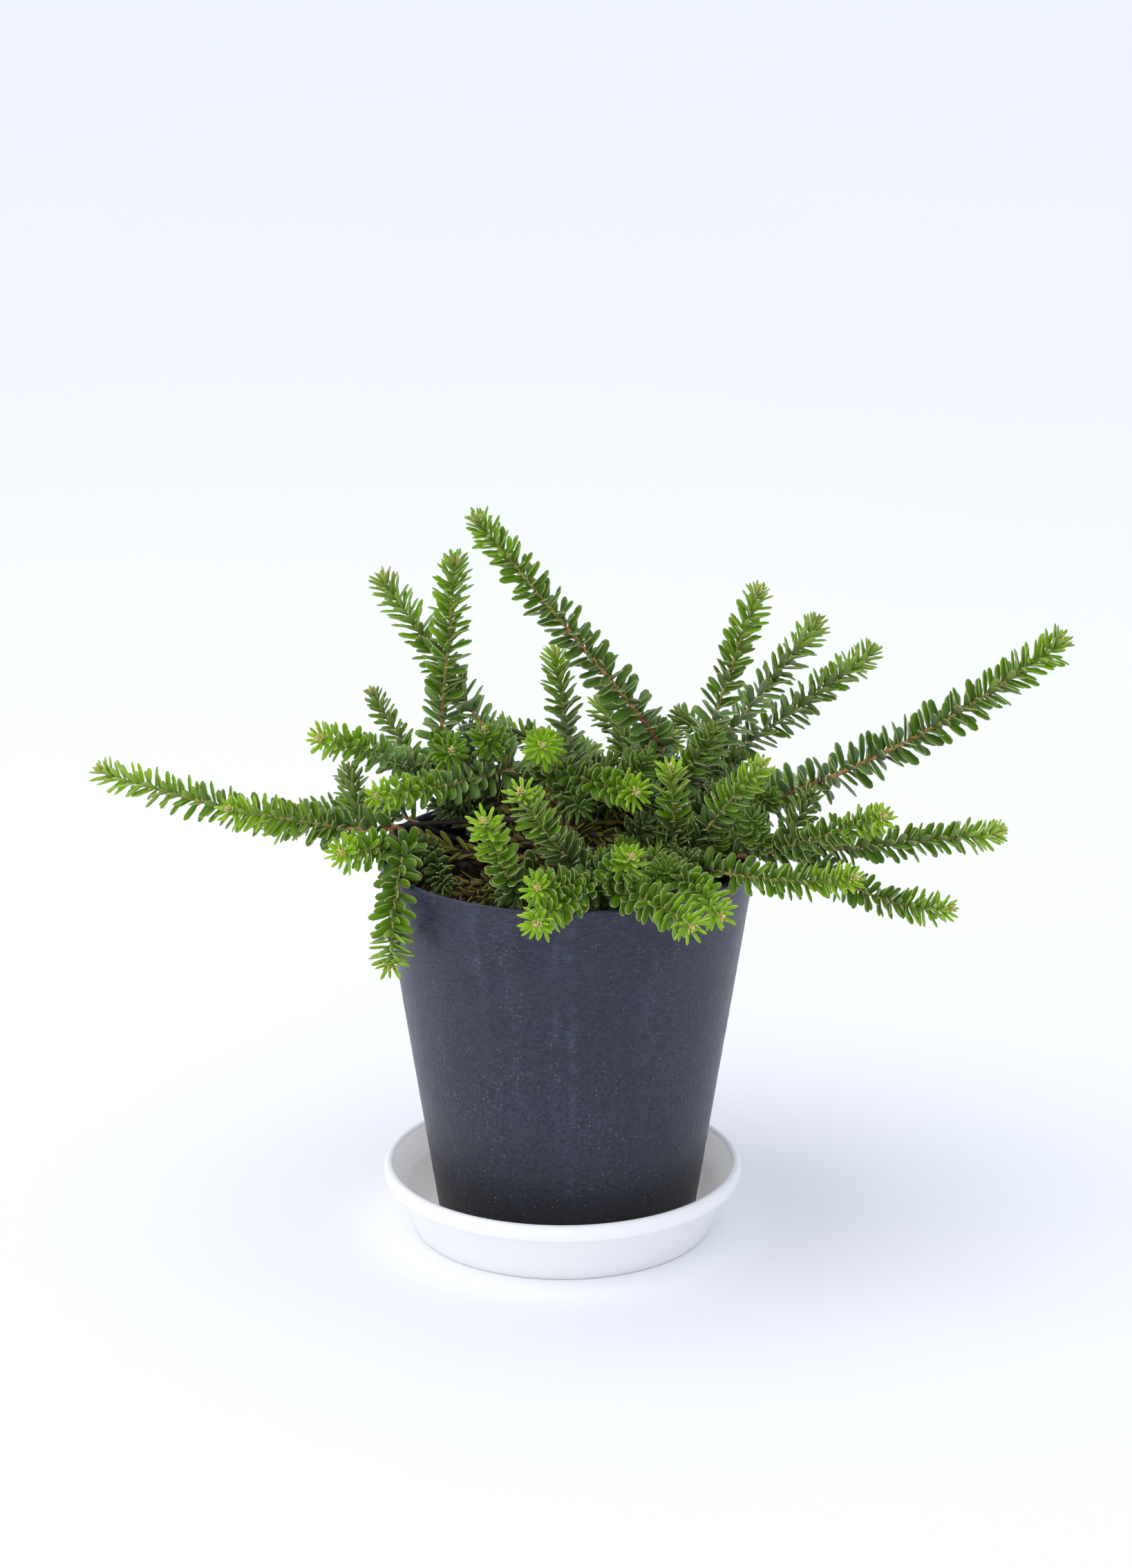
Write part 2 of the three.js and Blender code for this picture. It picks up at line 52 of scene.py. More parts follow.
# one object from arrays: quads and triangles share the points, and each face has the number of its finish
def putMesh(name, points, quads, triangles, finishes, quadFinish=0, triangleFinish=0):
    corners = np.concatenate([quads.ravel(), triangles.ravel()]).astype(np.int32)
    sizes = np.repeat([4, 3], [len(quads), len(triangles)])
    starts = np.concatenate([[0], np.cumsum(sizes)[:-1]]).astype(np.int32)
    numbers = np.concatenate([
        np.broadcast_to(quadFinish, len(quads)),
        np.broadcast_to(triangleFinish, len(triangles)),
    ]).astype(np.int32)
    mesh = bpy.data.meshes.new(name)
    mesh.vertices.add(len(points))
    mesh.vertices.foreach_set("co", points.astype(np.float32).ravel())
    mesh.loops.add(len(corners))
    mesh.loops.foreach_set("vertex_index", corners)
    mesh.polygons.add(len(starts))
    mesh.polygons.foreach_set("loop_start", starts)
    for finish in finishes:
        mesh.materials.append(finish)
    mesh.polygons.foreach_set("material_index", numbers)
    mesh.polygons.foreach_set("use_smooth", np.ones(len(starts), bool))
    mesh.update(calc_edges=True)
    piece = bpy.data.objects.new(name, mesh)
    scene.collection.objects.link(piece)
    print(name, len(quads) * 2 + len(triangles), "triangles")
    return piece


# a piece of the part: it rides on the one body and stands for the nodes, which are hidden
def settle(piece, nodes):
    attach(piece, "root")
    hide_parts(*nodes)


# angles of an even ring of points
def ringAngles(sides):
    return np.linspace(0, fullTurn, sides, endpoint=False)


# quads between neighbouring rings of a grid of rings by sides, closed round each ring
def ringQuads(rings, sides):
    ring = np.arange(rings - 1)[:, None] * sides
    side = np.arange(sides)[None, :]
    beside = (side + 1) % sides
    upper = ring + sides
    return np.stack([ring + side, ring + beside, upper + beside, upper + side], -1).reshape(-1, 4)


# triangles from the first and the last ring of such a grid to the two points that follow it
def endFans(rings, sides):
    side = np.arange(sides)
    beside = (side + 1) % sides
    last = (rings - 1) * sides
    low = rings * sides
    return np.concatenate([
        np.stack([np.full(sides, low), beside, side], 1),
        np.stack([last + side, last + beside, np.full(sides, low + 1)], 1),
    ])


# the faces of one small shape for many copies of it: each copy's points count on from the copy before
def repeatFaces(copies, pointsEach, *kinds):
    first = np.arange(copies)[:, None, None] * pointsEach
    return [(faces[None] + first).reshape(-1, faces.shape[1]) for faces in kinds]


# surface of revolution: a profile of (radius, height) with both ends on the axis, carried round a circle;
# swell moves each grid point out along the radius
def turnedShape(profile, sides, axisX=0.0, swell=0.0):
    angle = ringAngles(sides) + np.pi / 2
    body = profile[1:-1]
    radius = body[:, :1] + swell
    grid = np.stack([
        axisX + radius * np.cos(angle),
        radius * np.sin(angle),
        np.broadcast_to(body[:, 1:], (len(body), sides)),
    ], -1).reshape(-1, 3)
    poles = np.array([[axisX, 0, profile[0, 1]], [axisX, 0, profile[-1, 1]]])
    return np.concatenate([grid, poles]), ringQuads(len(body), sides), endFans(len(body), sides)


# point at t: the control points weighted by the binomial terms of t and 1 - t
def bezier(controls, steps):
    controls = np.asarray(controls, float)
    degree = len(controls) - 1
    t = np.linspace(0, 1, steps)[:, None]
    return sum(math.comb(degree, k) * t**k * (1 - t) ** (degree - k) * controls[k] for k in range(degree + 1))


# length of a path up to each of its points: the running sum of its steps
def lengthsAlong(path):
    return np.concatenate([[0], np.cumsum(np.linalg.norm(np.diff(path, axis=0), axis=1))])


# rows of values at places along a run: each column is interpolated
def pick(at, run, values):
    return np.stack([np.interp(at, run, column) for column in values.T], -1)


# the same path with points an even step apart
def evenPath(path, step=1.0, least=4):
    run = lengthsAlong(path)
    return pick(np.linspace(0, run[-1], max(least, int(run[-1] / step) + 1)), run, path)


# vectors divided by their lengths
def unit(vectors):
    return vectors / np.linalg.norm(vectors, axis=-1, keepdims=True)


# unit vectors square to a way: the part along it is taken out
def squareTo(vectors, way):
    return unit(vectors - way * np.sum(vectors * way, -1, keepdims=True))


rounding = dict(share=0.45, steps=5)


# a polyline whose corners give way to short curves, each at most a share of the runs beside it,
# and whose long runs are split into even steps
def softProfile(corners, bend, step):
    corners = np.asarray(corners, float)
    rows = [corners[:1]]
    for before, here, after in zip(corners[:-2], corners[1:-1], corners[2:]):
        inward, outward = before - here, after - here
        cut = min(bend, rounding["share"] * min(np.linalg.norm(inward), np.linalg.norm(outward)))
        rows.append(bezier([here + unit(inward) * cut, here, here + unit(outward) * cut], rounding["steps"]))
    rows.append(corners[-1:])
    path = np.concatenate(rows)
    run = lengthsAlong(path)
    marks = [
        np.linspace(start, end, max(2, int(np.ceil((end - start) / step)) + 1))[:-1]
        for start, end in zip(run[:-1], run[1:])
    ]
    return pick(np.concatenate(marks + [run[-1:]]), run, path)


# tangent, side and cross direction at each point: the side is carried on from point to point
# with its part along the tangent taken out, so that it doesn't twist
def framesAlong(path):
    tangent = unit(np.gradient(path, axis=0))
    side = np.array([0.36, 0.48, 0.8])  # any start that no path follows
    sides = np.empty_like(tangent)
    for place, direction in enumerate(tangent):
        side = squareTo(side, direction)
        sides[place] = side
    return tangent, sides, np.cross(tangent, sides)


# unit direction with a heading from +X towards +Y and a rise above the level, in degrees
def aim(heading, rise):
    heading, rise = np.radians(heading), np.radians(rise)
    return np.stack([np.cos(rise) * np.cos(heading), np.cos(rise) * np.sin(heading), np.sin(rise)], -1)


# a closed tube: ring point = path point + radius * (cos a * side + sin a * cross), with relief as a share
# of the radius for each ring and side, and a point in the middle of each end
def tubeShape(path, radius, sides, relief=0.0):
    side, cross = framesAlong(path)[1:]
    angle = ringAngles(sides)[None, :, None]
    reach = np.broadcast_to(radius, len(path))[:, None] * (1 + relief) * np.ones(sides)
    grid = path[:, None] + reach[..., None] * (np.cos(angle) * side[:, None] + np.sin(angle) * cross[:, None])
    points = np.concatenate([grid.reshape(-1, 3), path[:1], path[-1:]])
    return points, ringQuads(len(path), sides), endFans(len(path), sides)


# several shapes as one: each one's faces count on from the points before it
def joinShapes(shapes):
    first = np.cumsum([0] + [len(points) for points, _, _ in shapes])
    return (
        np.concatenate([points for points, _, _ in shapes]),
        np.concatenate([quads + start for (_, quads, _), start in zip(shapes, first)]),
        np.concatenate([triangles + start for (_, _, triangles), start in zip(shapes, first)]),
    )


# soft noise on a grid that closes on itself: white noise blurred by a bell curve of the given widths in cells
def gridNoise(draw, rows, columns, rowBlur, columnBlur):
    white = draw.standard_normal((rows, columns))
    rowRate = np.fft.fftfreq(rows)[:, None]
    columnRate = np.fft.fftfreq(columns)[None, :]
    bell = np.exp(-2 * np.pi**2 * ((rowRate * rowBlur) ** 2 + (columnRate * columnBlur) ** 2))
    soft = np.fft.ifft2(np.fft.fft2(white) * bell).real
    return soft / soft.std()


# screen colour of 0 to 255 as linear light
def linear(red, green, blue):
    share = np.array([red, green, blue]) / 255
    value = np.where(share <= 0.04045, share / 12.92, ((share + 0.055) / 1.055) ** 2.4)
    return (*[float(v) for v in value], 1.0)


# each named input of a node takes a value, or the output of another node
def setSockets(tree, node, sockets):
    for name, value in sockets.items():
        if isinstance(value, bpy.types.NodeSocket):
            tree.links.new(value, node.inputs[name])
        else:
            node.inputs[name].default_value = value
    return node


# a shader node with its settings, then its inputs
def addNode(tree, kind, sockets=None, **settings):
    node = tree.nodes.new(f"ShaderNode{kind}")
    for name, value in settings.items():
        setattr(node, name, value)
    return setSockets(tree, node, sockets or {})


# soft noise of 0 to 1
def softNoise(tree, place, scale, **sockets):
    return addNode(tree, "TexNoise", {"Vector": place, "Scale": scale, **sockets}).outputs["Fac"]


# a value carried from one range to another
def mapRange(tree, value, before, after=(0, 1), **settings):
    ends = dict(zip(("From Min", "From Max", "To Min", "To Max"), (*before, *after)))
    return addNode(tree, "MapRange", {"Value": value, **ends}, **settings).outputs["Result"]


# one sum, product or comparison of two values
def reckon(tree, operation, first, second):
    return addNode(tree, "Math", {0: first, 1: second}, operation=operation).outputs[0]


# a colour times a share
def scaled(tree, color, share):
    return addNode(tree, "VectorMath", {0: color, "Scale": share}, operation="SCALE").outputs["Vector"]


# first * (1 - share) + second * share
def mixed(tree, share, first, second, kind="RGBA"):
    sockets = {"Factor": share, "A": first, "B": second}
    return addNode(tree, "Mix", sockets, data_type=kind).outputs["Result"]


# shared effect: a colour made lighter and darker by soft noise, and a finer noise as the height of a bump
def mottleGroup(detail=3, ends=(0.3, 0.7), grainDetail=2):
    group = bpy.data.node_groups.new("mottle", "ShaderNodeTree")
    inputs = dict(Vector="Vector", Scale="Float", Depth="Float", Color="Color", Grain="Float")
    outputs = dict(Color="Color", Height="Float")
    for way, sockets in (("INPUT", inputs), ("OUTPUT", outputs)):
        for name, kind in sockets.items():
            group.interface.new_socket(name, in_out=way, socket_type=f"NodeSocket{kind}")
    entry = group.nodes.new("NodeGroupInput").outputs
    noise = softNoise(group, entry["Vector"], entry["Scale"], Detail=detail)
    shades = [reckon(group, way, 1, entry["Depth"]) for way in ("SUBTRACT", "ADD")]
    color = scaled(group, entry["Color"], mapRange(group, noise, ends, shades))
    height = softNoise(group, entry["Vector"], entry["Grain"], Detail=grainDetail)
    setSockets(group, group.nodes.new("NodeGroupOutput"), {"Color": color, "Height": height})
    return group


mottle = mottleGroup()


# the shared effect in a finish: scales are the number of spots in a metre
def mottled(tree, place, color, scale, depth, grain=0.0):
    sockets = {"Vector": place, "Scale": scale, "Depth": depth, "Color": color, "Grain": grain}
    return addNode(tree, "Group", sockets, node_tree=mottle).outputs


# a new finish, its nodes, and the place in the object's frame
def newFinish(name):
    finish = bpy.data.materials.new(name)
    finish.use_nodes = True
    tree = finish.node_tree
    return finish, tree, addNode(tree, "TexCoord").outputs["Object"]


def shaderOf(finish):
    return finish.node_tree.nodes["Principled BSDF"]


# what a look holds unless it says otherwise: shine and its tint, pale down on leaves
plainLook = dict(shine=0.5, gleam=(1, 1, 1, 1), down=0.0, downRoughness=0.4)


# a finish of one mottled colour and a fine bump: look holds color, roughness and the sizes of both patterns
def mottledFinish(name, look):
    look = {**plainLook, **look}
    finish, tree, place = newFinish(name)
    effect = mottled(tree, place, look["color"], 1 / look["patch"], look["depth"], 1 / look["grain"])
    relief = {"Strength": look["bump"], "Distance": look["grain"] / 2, "Height": effect["Height"]}
    setSockets(tree, shaderOf(finish), {
        "Base Color": effect["Color"],
        "Normal": addNode(tree, "Bump", relief).outputs["Normal"],
        "Roughness": look["roughness"],
        "Specular IOR Level": look["shine"],
        "Specular Tint": look["gleam"],
        "Sheen Weight": look["down"],
        "Sheen Roughness": look["downRoughness"],
    })
    return finish


# one finish for each look
def numberedFinishes(name, looks):
    return [mottledFinish(f"{name}{number}", look) for number, look in enumerate(looks)]


view = dict(place=(0.0014, -1.713, 0.729), tilt=72.4, lens=105, sensor=36, reach=100)
camera = bpy.data.objects.new("camera", bpy.data.cameras.new("camera"))
camera.location = view["place"]
camera.rotation_euler = (math.radians(view["tilt"]), 0, 0)
camera.data.lens = view["lens"]
camera.data.sensor_width = view["sensor"]
camera.data.clip_end = view["reach"]
scene.collection.objects.link(camera)
scene.camera = camera
scene.view_settings.view_transform = "Standard"

studio = dict(
    floorHalf=9.0,
    floorLook=dict(
        color=(0.93, 0.935, 0.95, 1), roughness=0.9, patch=0.4, depth=0.004, grain=0.02, bump=0.02, shine=0.0,
    ),
    skyColor=(0.8, 0.852, 0.985, 1),
    skyStrength=(1.13, 0.89),  # from the left and from the right
    lamps=[  # name, kind, where it stands or shines from, width in degrees or metres, strength, colour
        ("keyLamp", "SUN", (-0.74, -0.1, 0.66), 30, 0.24, (1.0, 0.88, 0.6)),
        ("faceLamp", "SUN", (-0.42, -0.86, 0.34), 80, 0.6, (1.0, 0.94, 0.82)),
        ("overhead", "AREA", (-0.25, 0.0, 1.3), 1.1, 4.0, (1.0, 0.97, 0.93)),
    ],
)


# a sky whose strength runs evenly from left to right, a wide floor, and lamps that look at the origin
def setStudio():
    world = bpy.data.worlds.new("studio")
    world.use_nodes = True
    tree = world.node_tree
    direction = addNode(tree, "TexCoord").outputs["Generated"]
    across = addNode(tree, "SeparateXYZ", {0: direction}).outputs["X"]
    strength = mapRange(tree, across, (-1, 1), studio["skyStrength"])
    setSockets(tree, tree.nodes["Background"], {"Color": studio["skyColor"], "Strength": strength})
    scene.world = world
    corners = studio["floorHalf"] * np.array([[-1, -1, 0], [1, -1, 0], [1, 1, 0], [-1, 1, 0]])
    finish = mottledFinish("floor", studio["floorLook"])
    floor = putMesh("floor", corners, np.array([[0, 1, 2, 3]]), np.zeros((0, 3), int), [finish])
    for name, kind, source, width, strength, color in studio["lamps"]:
        lamp = bpy.data.lights.new(name, kind)
        lamp.energy, lamp.color = strength, color
        if kind == "SUN":
            lamp.angle = math.radians(width)
        else:
            lamp.size = width
        holder = bpy.data.objects.new(name, lamp)
        holder.location = source
        holder.visible_camera = False
        holder.rotation_euler = (-Vector(source)).to_track_quat("-Z", "Y").to_euler()
        scene.collection.objects.link(holder)


setStudio()
print("camera, floor and light set")


pot = dict(
    axisX=1.9, rimRadius=75.0, rimHeight=158.4, footRadius=51.0, footHeight=3.3, wall=2.8, floor=3.5,
    sides=200, step=1.5, innerStep=6.0, footBend=1.25, innerBend=1.1,
    crestDepth=1.3, crestWidth=1.4, crestLean=0.1, crestSteps=6, insideFrom=6,  # rings past the rim's top
    wrinkle=0.025, wrinkleBlur=(0.8, 1.4), wave=0.03, waveBlur=(14, 18),
    plainRim=1.2, rimFade=3.0, plainFoot=1.0, footFade=4.0,
    color=linear(38, 41, 58), patch=26, patchDepth=0.16, roughness=(0.32, 0.48), shine=0.42,
    # painted shade: low and lowRise darken the foot, where the saucer cuts off light and the floor's
    # reflection
    low=linear(7, 8, 12), lowRise=(0.006, 0.068),  # dark foot
    pebble=820, pebbleDetail=1, crease=360, creaseDetail=1.5, creaseBend=0.5, creaseSqueeze=(1, 1, 3.6),
    creaseRise=(0.07, 0.15), creaseShare=(0.15, 0.75), bump=0.95, bumpDepth=0.0004,
    grainEnds=(0.38, 0.62), ripple=(0.62, 1.4),  # light and dark of the grain
    fleck=linear(136, 142, 152), stain=linear(84, 74, 58), fleckShare=0.6,
    flecks=[(760, 0.2, 45, 0.5, "fleck"), (300, 0.16, 30, 0.6, "stain")],  # scale, size, patches, least, tone
    # the inner wall is near-black: painted shade of the pot's inside
    inside=dict(
        color=linear(14, 14, 16), roughness=0.6, patch=0.02, depth=0.2, grain=0.002, bump=0.2, shine=0.2,
    ),
    streak=linear(58, 68, 92), thin=160, thinDetail=4, streakBreak=(0.42, 0.72),
    streakWaves=((0.7, 9, 2.1), (0.35, 23, 1)),  # degrees, rate up the wall, shift from streak to streak
    streakEnd=(0.15, 0.6, 0.37), streakFade=(0.25, 0.5),
    streaks=[  # heading on the wall in degrees, width in degrees, strength
        (-88.5, 1.3, 0.9), (-93.5, 1.1, 0.6), (-119, 2.6, 0.7), (-108, 1.6, 0.45), (-62, 1.6, 0.5),
        (-74, 1.0, 0.35), (-140, 2.6, 0.5), (-30, 1.5, 0.3), (5, 1.8, 0.4), (48, 1.4, 0.35), (92, 2.0, 0.5),
        (133, 1.4, 0.4), (170, 1.6, 0.35),
    ],
)
potAxis = np.array([pot["axisX"], 0, 0])


# radius of the outer wall, even from foot to rim
def potRadius(height):
    share = (height - pot["footHeight"]) / (pot["rimHeight"] - pot["footHeight"])
    return pot["footRadius"] + (pot["rimRadius"] - pot["footRadius"]) * share


# a turned shell: outer wall, rounded crest, inner wall and floor
def makePot():
    foot, rim, wall, rimRadius = (pot[name] for name in ("footHeight", "rimHeight", "wall", "rimRadius"))
    inside = foot + pot["floor"]
    corners = [
        (0, foot), (pot["footRadius"], foot), (rimRadius, rim), (rimRadius - wall, rim),
        (potRadius(inside) - wall, inside), (0, inside),
    ]
    outer = softProfile(corners[:4], pot["footBend"], pot["step"])
    inner = softProfile(corners[2:], pot["innerBend"], pot["innerStep"])
    crestFoot = rim - pot["crestDepth"]
    crestTop = (rimRadius - pot["crestWidth"], rim)
    lean, steps = pot["crestLean"], pot["crestSteps"]
    outer = outer[(outer[:, 1] < crestFoot) & (np.arange(len(outer)) < np.argmax(outer[:, 1]))]
    inner = inner[inner[:, 1] < crestFoot]
    crest = bezier([(potRadius(crestFoot), crestFoot), (rimRadius - lean, rim), crestTop], steps)
    turnIn = bezier([crestTop, (rimRadius - wall + lean, rim), inner[0]], steps)[1:-1]
    profile = np.concatenate([outer, crest, turnIn, inner])
    # relief on the outer wall: soft noise that fades at the foot and the rim
    height = profile[1:-1, 1]
    rows, sides, top = len(height), pot["sides"], np.argmax(height)
    isWall = (np.arange(rows) < top) & (height > foot + pot["plainFoot"])
    fade = isWall * np.clip((rim - pot["plainRim"] - height) / pot["rimFade"], 0, 1)
    fade = fade * np.clip((height - foot - pot["plainFoot"]) / pot["footFade"], 0, 1)
    wrinkles = gridNoise(reliefDraw, rows, sides, *pot["wrinkleBlur"])
    waves = gridNoise(reliefDraw, rows, sides, *pot["waveBlur"])
    swell = fade[:, None] * (pot["wrinkle"] * wrinkles + pot["wave"] * waves)
    points, quads, triangles = turnedShape(profile, sides, pot["axisX"], swell)
    isInside = np.repeat(np.arange(rows - 1) > top + pot["insideFrom"], sides)
    # the inside faces take the near-black finish, painted shade
    finishes = [potFinish(), mottledFinish("potInsidePaintedShade", pot["inside"])]
    piece = putMesh("potShell", points * mm, quads, triangles, finishes, isInside, np.repeat([0, 1], sides))
    marks = waterMarks((height[:, None] - foot) / (rim - foot)) * isWall[:, None]
    values = np.concatenate([marks.ravel(), [0, 0]]).astype(np.float32)
    piece.data.attributes.new("streak", "FLOAT", "POINT").data.foreach_set("value", values)
    settle(piece, ["pot"])


# water marks: bell curves across the heading, waving a little with height, stronger near the rim
def waterMarks(share):
    heading = np.degrees(ringAngles(pot["sides"]) + np.pi / 2)
    least, spread, skip = pot["streakEnd"]
    before, run = pot["streakFade"]
    marks = 0.0
    for number, (place, width, strength) in enumerate(pot["streaks"]):
        wave = sum(size * np.sin(rate * share + shift * number) for size, rate, shift in pot["streakWaves"])
        away = (heading - place + wave + 180) % 360 - 180
        end = least + spread * ((number * skip) % 1)
        bell = np.exp(-((away / width) ** 2))
        marks = marks + strength * bell * np.clip((share - end + before) / run, 0, 1)
    return marks


# charcoal plastic: a darker foot that is painted shade, water marks, pale and brown flecks, and a fine
# pebbled grain with level creases near the rim
def potFinish():
    finish, tree, place = newFinish("potPlastic")
    height = addNode(tree, "SeparateXYZ", {0: place}).outputs["Z"]
    thin = softNoise(tree, place, pot["thin"], Detail=pot["thinDetail"])
    streak = addNode(tree, "Attribute", attribute_name="streak").outputs["Fac"]
    marked = reckon(tree, "MULTIPLY", streak, mapRange(tree, thin, pot["streakBreak"]))
    # painted shade: the colour darkens towards the foot
    rise = mapRange(tree, height, pot["lowRise"], interpolation_type="SMOOTHSTEP")
    color = mottled(tree, place, pot["color"], pot["patch"], pot["patchDepth"])["Color"]
    color = mixed(tree, rise, pot["low"], color)
    color = mixed(tree, marked, color, pot["streak"])
    # flecks: the middle of some cells of a pattern, each of a drawn size, fewer where a soft noise is low
    for scale, size, patches, least, tone in pot["flecks"]:
        cells = addNode(tree, "TexVoronoi", {"Vector": place, "Scale": scale}).outputs
        drawn = addNode(tree, "SeparateColor", {0: cells["Color"]}).outputs[0]
        near = reckon(tree, "LESS_THAN", cells["Distance"], reckon(tree, "MULTIPLY", drawn, size))
        some = reckon(tree, "GREATER_THAN", softNoise(tree, place, patches), least)
        share = reckon(tree, "MULTIPLY", reckon(tree, "MULTIPLY", near, some), pot["fleckShare"])
        color = mixed(tree, share, color, pot[tone])
    # grain: pebbles low on the wall and creases along the level near the rim, as bump and as light and dark
    pebble = softNoise(tree, place, pot["pebble"], Detail=pot["pebbleDetail"])
    level = addNode(tree, "Mapping", {"Vector": place, "Scale": pot["creaseSqueeze"]}).outputs["Vector"]
    crease = softNoise(tree, level, pot["crease"], Detail=pot["creaseDetail"], Distortion=pot["creaseBend"])
    creased = mapRange(tree, height, pot["creaseRise"], pot["creaseShare"])
    grain = mixed(tree, creased, pebble, crease, "FLOAT")
    bump = addNode(tree, "Bump", {"Strength": pot["bump"], "Distance": pot["bumpDepth"], "Height": grain})
    setSockets(tree, shaderOf(finish), {
        "Base Color": scaled(tree, color, mapRange(tree, grain, pot["grainEnds"], pot["ripple"])),
        "Normal": bump.outputs["Normal"],
        "Roughness": mapRange(tree, thin, (0, 1), pot["roughness"]),
        "Specular IOR Level": pot["shine"],
    })
    return finish


makePot()
print("pot made")


saucer = dict(
    footRadius=59.5, lipRadius=72.3, mouthRadius=67.6, height=27.6, floor=3.0, wall=2.4, lipDepth=6.6,
    sides=160, step=2.5, footBend=0.9, innerBend=0.5,
    rollLow=(0.3, 1.2), rollHigh=(0.1, 0.1), rollSteps=9,  # how far the lip's roll swells out
    edge=(68.2, 26.5), edgeLean=0.5, edgeSteps=5, ledge=(62.4, 17.5), insideFrom=4,
    look=dict(color=linear(253, 252, 251), roughness=0.3, patch=0.03, depth=0.005, grain=0.004, bump=0.03),
    # the glow on the inside faces is painted light, in place of light that the thin plastic lets in
    glow=0.85, glowDepth=0.006, glowReach=(1.0, 0.95, 0.9), paintedGlow=linear(255, 249, 244), paintedGlowStrength=0.12,
)


# a turned dish: underside, rolled lip, then the inside with its edge, ledge and floor
def makeSaucer():
    lip, mouth, top, sides = (saucer[name] for name in ("lipRadius", "mouthRadius", "height", "sides"))
    lipFoot = top - saucer["lipDepth"]
    half = (lip - mouth) / 2
    lipStart, lipTop = (lip - half / 2, lipFoot), (lip - half, top)
    (lowOut, lowUp), (highOut, highDown) = saucer["rollLow"], saucer["rollHigh"]
    underside = [(0, 0), (saucer["footRadius"], 0), (mouth, lipFoot), lipStart]
    under = softProfile(underside, saucer["footBend"], saucer["step"])
    rollLow, rollHigh = (lip + lowOut, lipFoot + lowUp), (lip + highOut, top - highDown)
    roll = bezier([lipStart, rollLow, rollHigh, lipTop], saucer["rollSteps"])
    edge = saucer["edge"]
    over = bezier([lipTop, (edge[0] + saucer["edgeLean"], top), edge], saucer["edgeSteps"])
    floorEdge = (saucer["footRadius"] - saucer["wall"], saucer["floor"])
    inside = [over[-2], edge, saucer["ledge"], floorEdge, (0, saucer["floor"])]
    inner = softProfile(inside, saucer["innerBend"], saucer["step"])
    profile = np.concatenate([under[:-1], roll, over[1:-2], inner])
    points, quads, triangles = turnedShape(profile, sides)
    finishes = [mottledFinish(name, saucer["look"]) for name in ("saucerPlastic", "saucerInsidePaintedGlow")]
    for finish in finishes:  # thin white plastic lets light through
        setSockets(finish.node_tree, shaderOf(finish), {
            "Subsurface Weight": saucer["glow"],
            "Subsurface Radius": saucer["glowReach"],
            "Subsurface Scale": saucer["glowDepth"],
        })
    # painted light: the inside faces glow faintly, in place of light that the thin plastic lets in
    paintedGlow = {"Emission Color": saucer["paintedGlow"], "Emission Strength": saucer["paintedGlowStrength"]}
    setSockets(finishes[1].node_tree, shaderOf(finishes[1]), paintedGlow)
    bands = len(profile) - 3
    isInside = np.repeat(np.arange(bands) > bands - len(inner) + saucer["insideFrom"], sides)
    piece = putMesh("saucerDish", points * mm, quads, triangles, finishes, isInside, np.repeat([0, 1], sides))
    settle(piece, ["saucer"])


makeSaucer()
print("saucer made")


grit = dict(roughness=0.95, patch=0.002, depth=0.3, grain=0.0008, bump=0.5, shine=0.2)
soil = dict(
    level=144.4, crown=2.0, crownReach=70, foot=110.0, clear=0.6, rings=44, sides=120,
    lump=0.288, lumpUnit=12, lumpSizes=(30, 4, 14), lumpSeed=5,
    look=dict(grit, color=linear(46, 34, 25), patch=0.004, depth=0.4, grain=0.0012, bump=0.6),
)
granule = dict(
    count=900, size=(1.1, 2.6), sizeSpread=(0.7, 1.25), rises=(-50, 0, 50), sides=7, cornerSpread=(0.75, 1.2),
    least=(0.8, 0.7, 0.5), most=(1.2, 1.0, 0.8), stand=0.25, margin=2.0, middle=0.02,
    looks=[dict(grit, color=linear(*tone)) for tone in ((92, 68, 46), (72, 62, 54), (38, 28, 20))],
)


# height of the soil's top: a low crown and lumps, the sum of waves in drawn directions
def soilTop(x, y):
    waves = np.random.default_rng(soil["lumpSeed"])
    height = soil["level"] - soil["crown"] * np.clip(np.hypot(x, y) / soil["crownReach"], 0, 1)
    for size in np.geomspace(*soil["lumpSizes"]):
        turn, phase = waves.uniform(0, fullTurn, 2)
        across = x * np.cos(turn) + y * np.sin(turn)
        tall = soil["lump"] * (size / soil["lumpUnit"]) ** 0.5
        height = height + tall * np.sin(fullTurn * across / size + phase)
    return height


# the bed: a turned plug just inside the pot's wall, with its top laid on the height above
def makeBed(edge, finish):
    foot, rings = soil["foot"], soil["rings"]
    footRadius = potRadius(foot) - pot["wall"] - soil["clear"]
    radius = np.concatenate([[0, footRadius], np.linspace(edge, 0, rings)])
    height = np.concatenate([[foot, foot], np.full(rings, soil["level"])])
    points, quads, triangles = turnedShape(np.stack([radius, height], 1), soil["sides"], pot["axisX"])
    isTop = points[:, 2] > foot
    points[isTop, 2] = soilTop(points[isTop, 0] - pot["axisX"], points[isTop, 1])
    settle(putMesh("soilBed", points * mm, quads, triangles, [finish]), ["soil"])


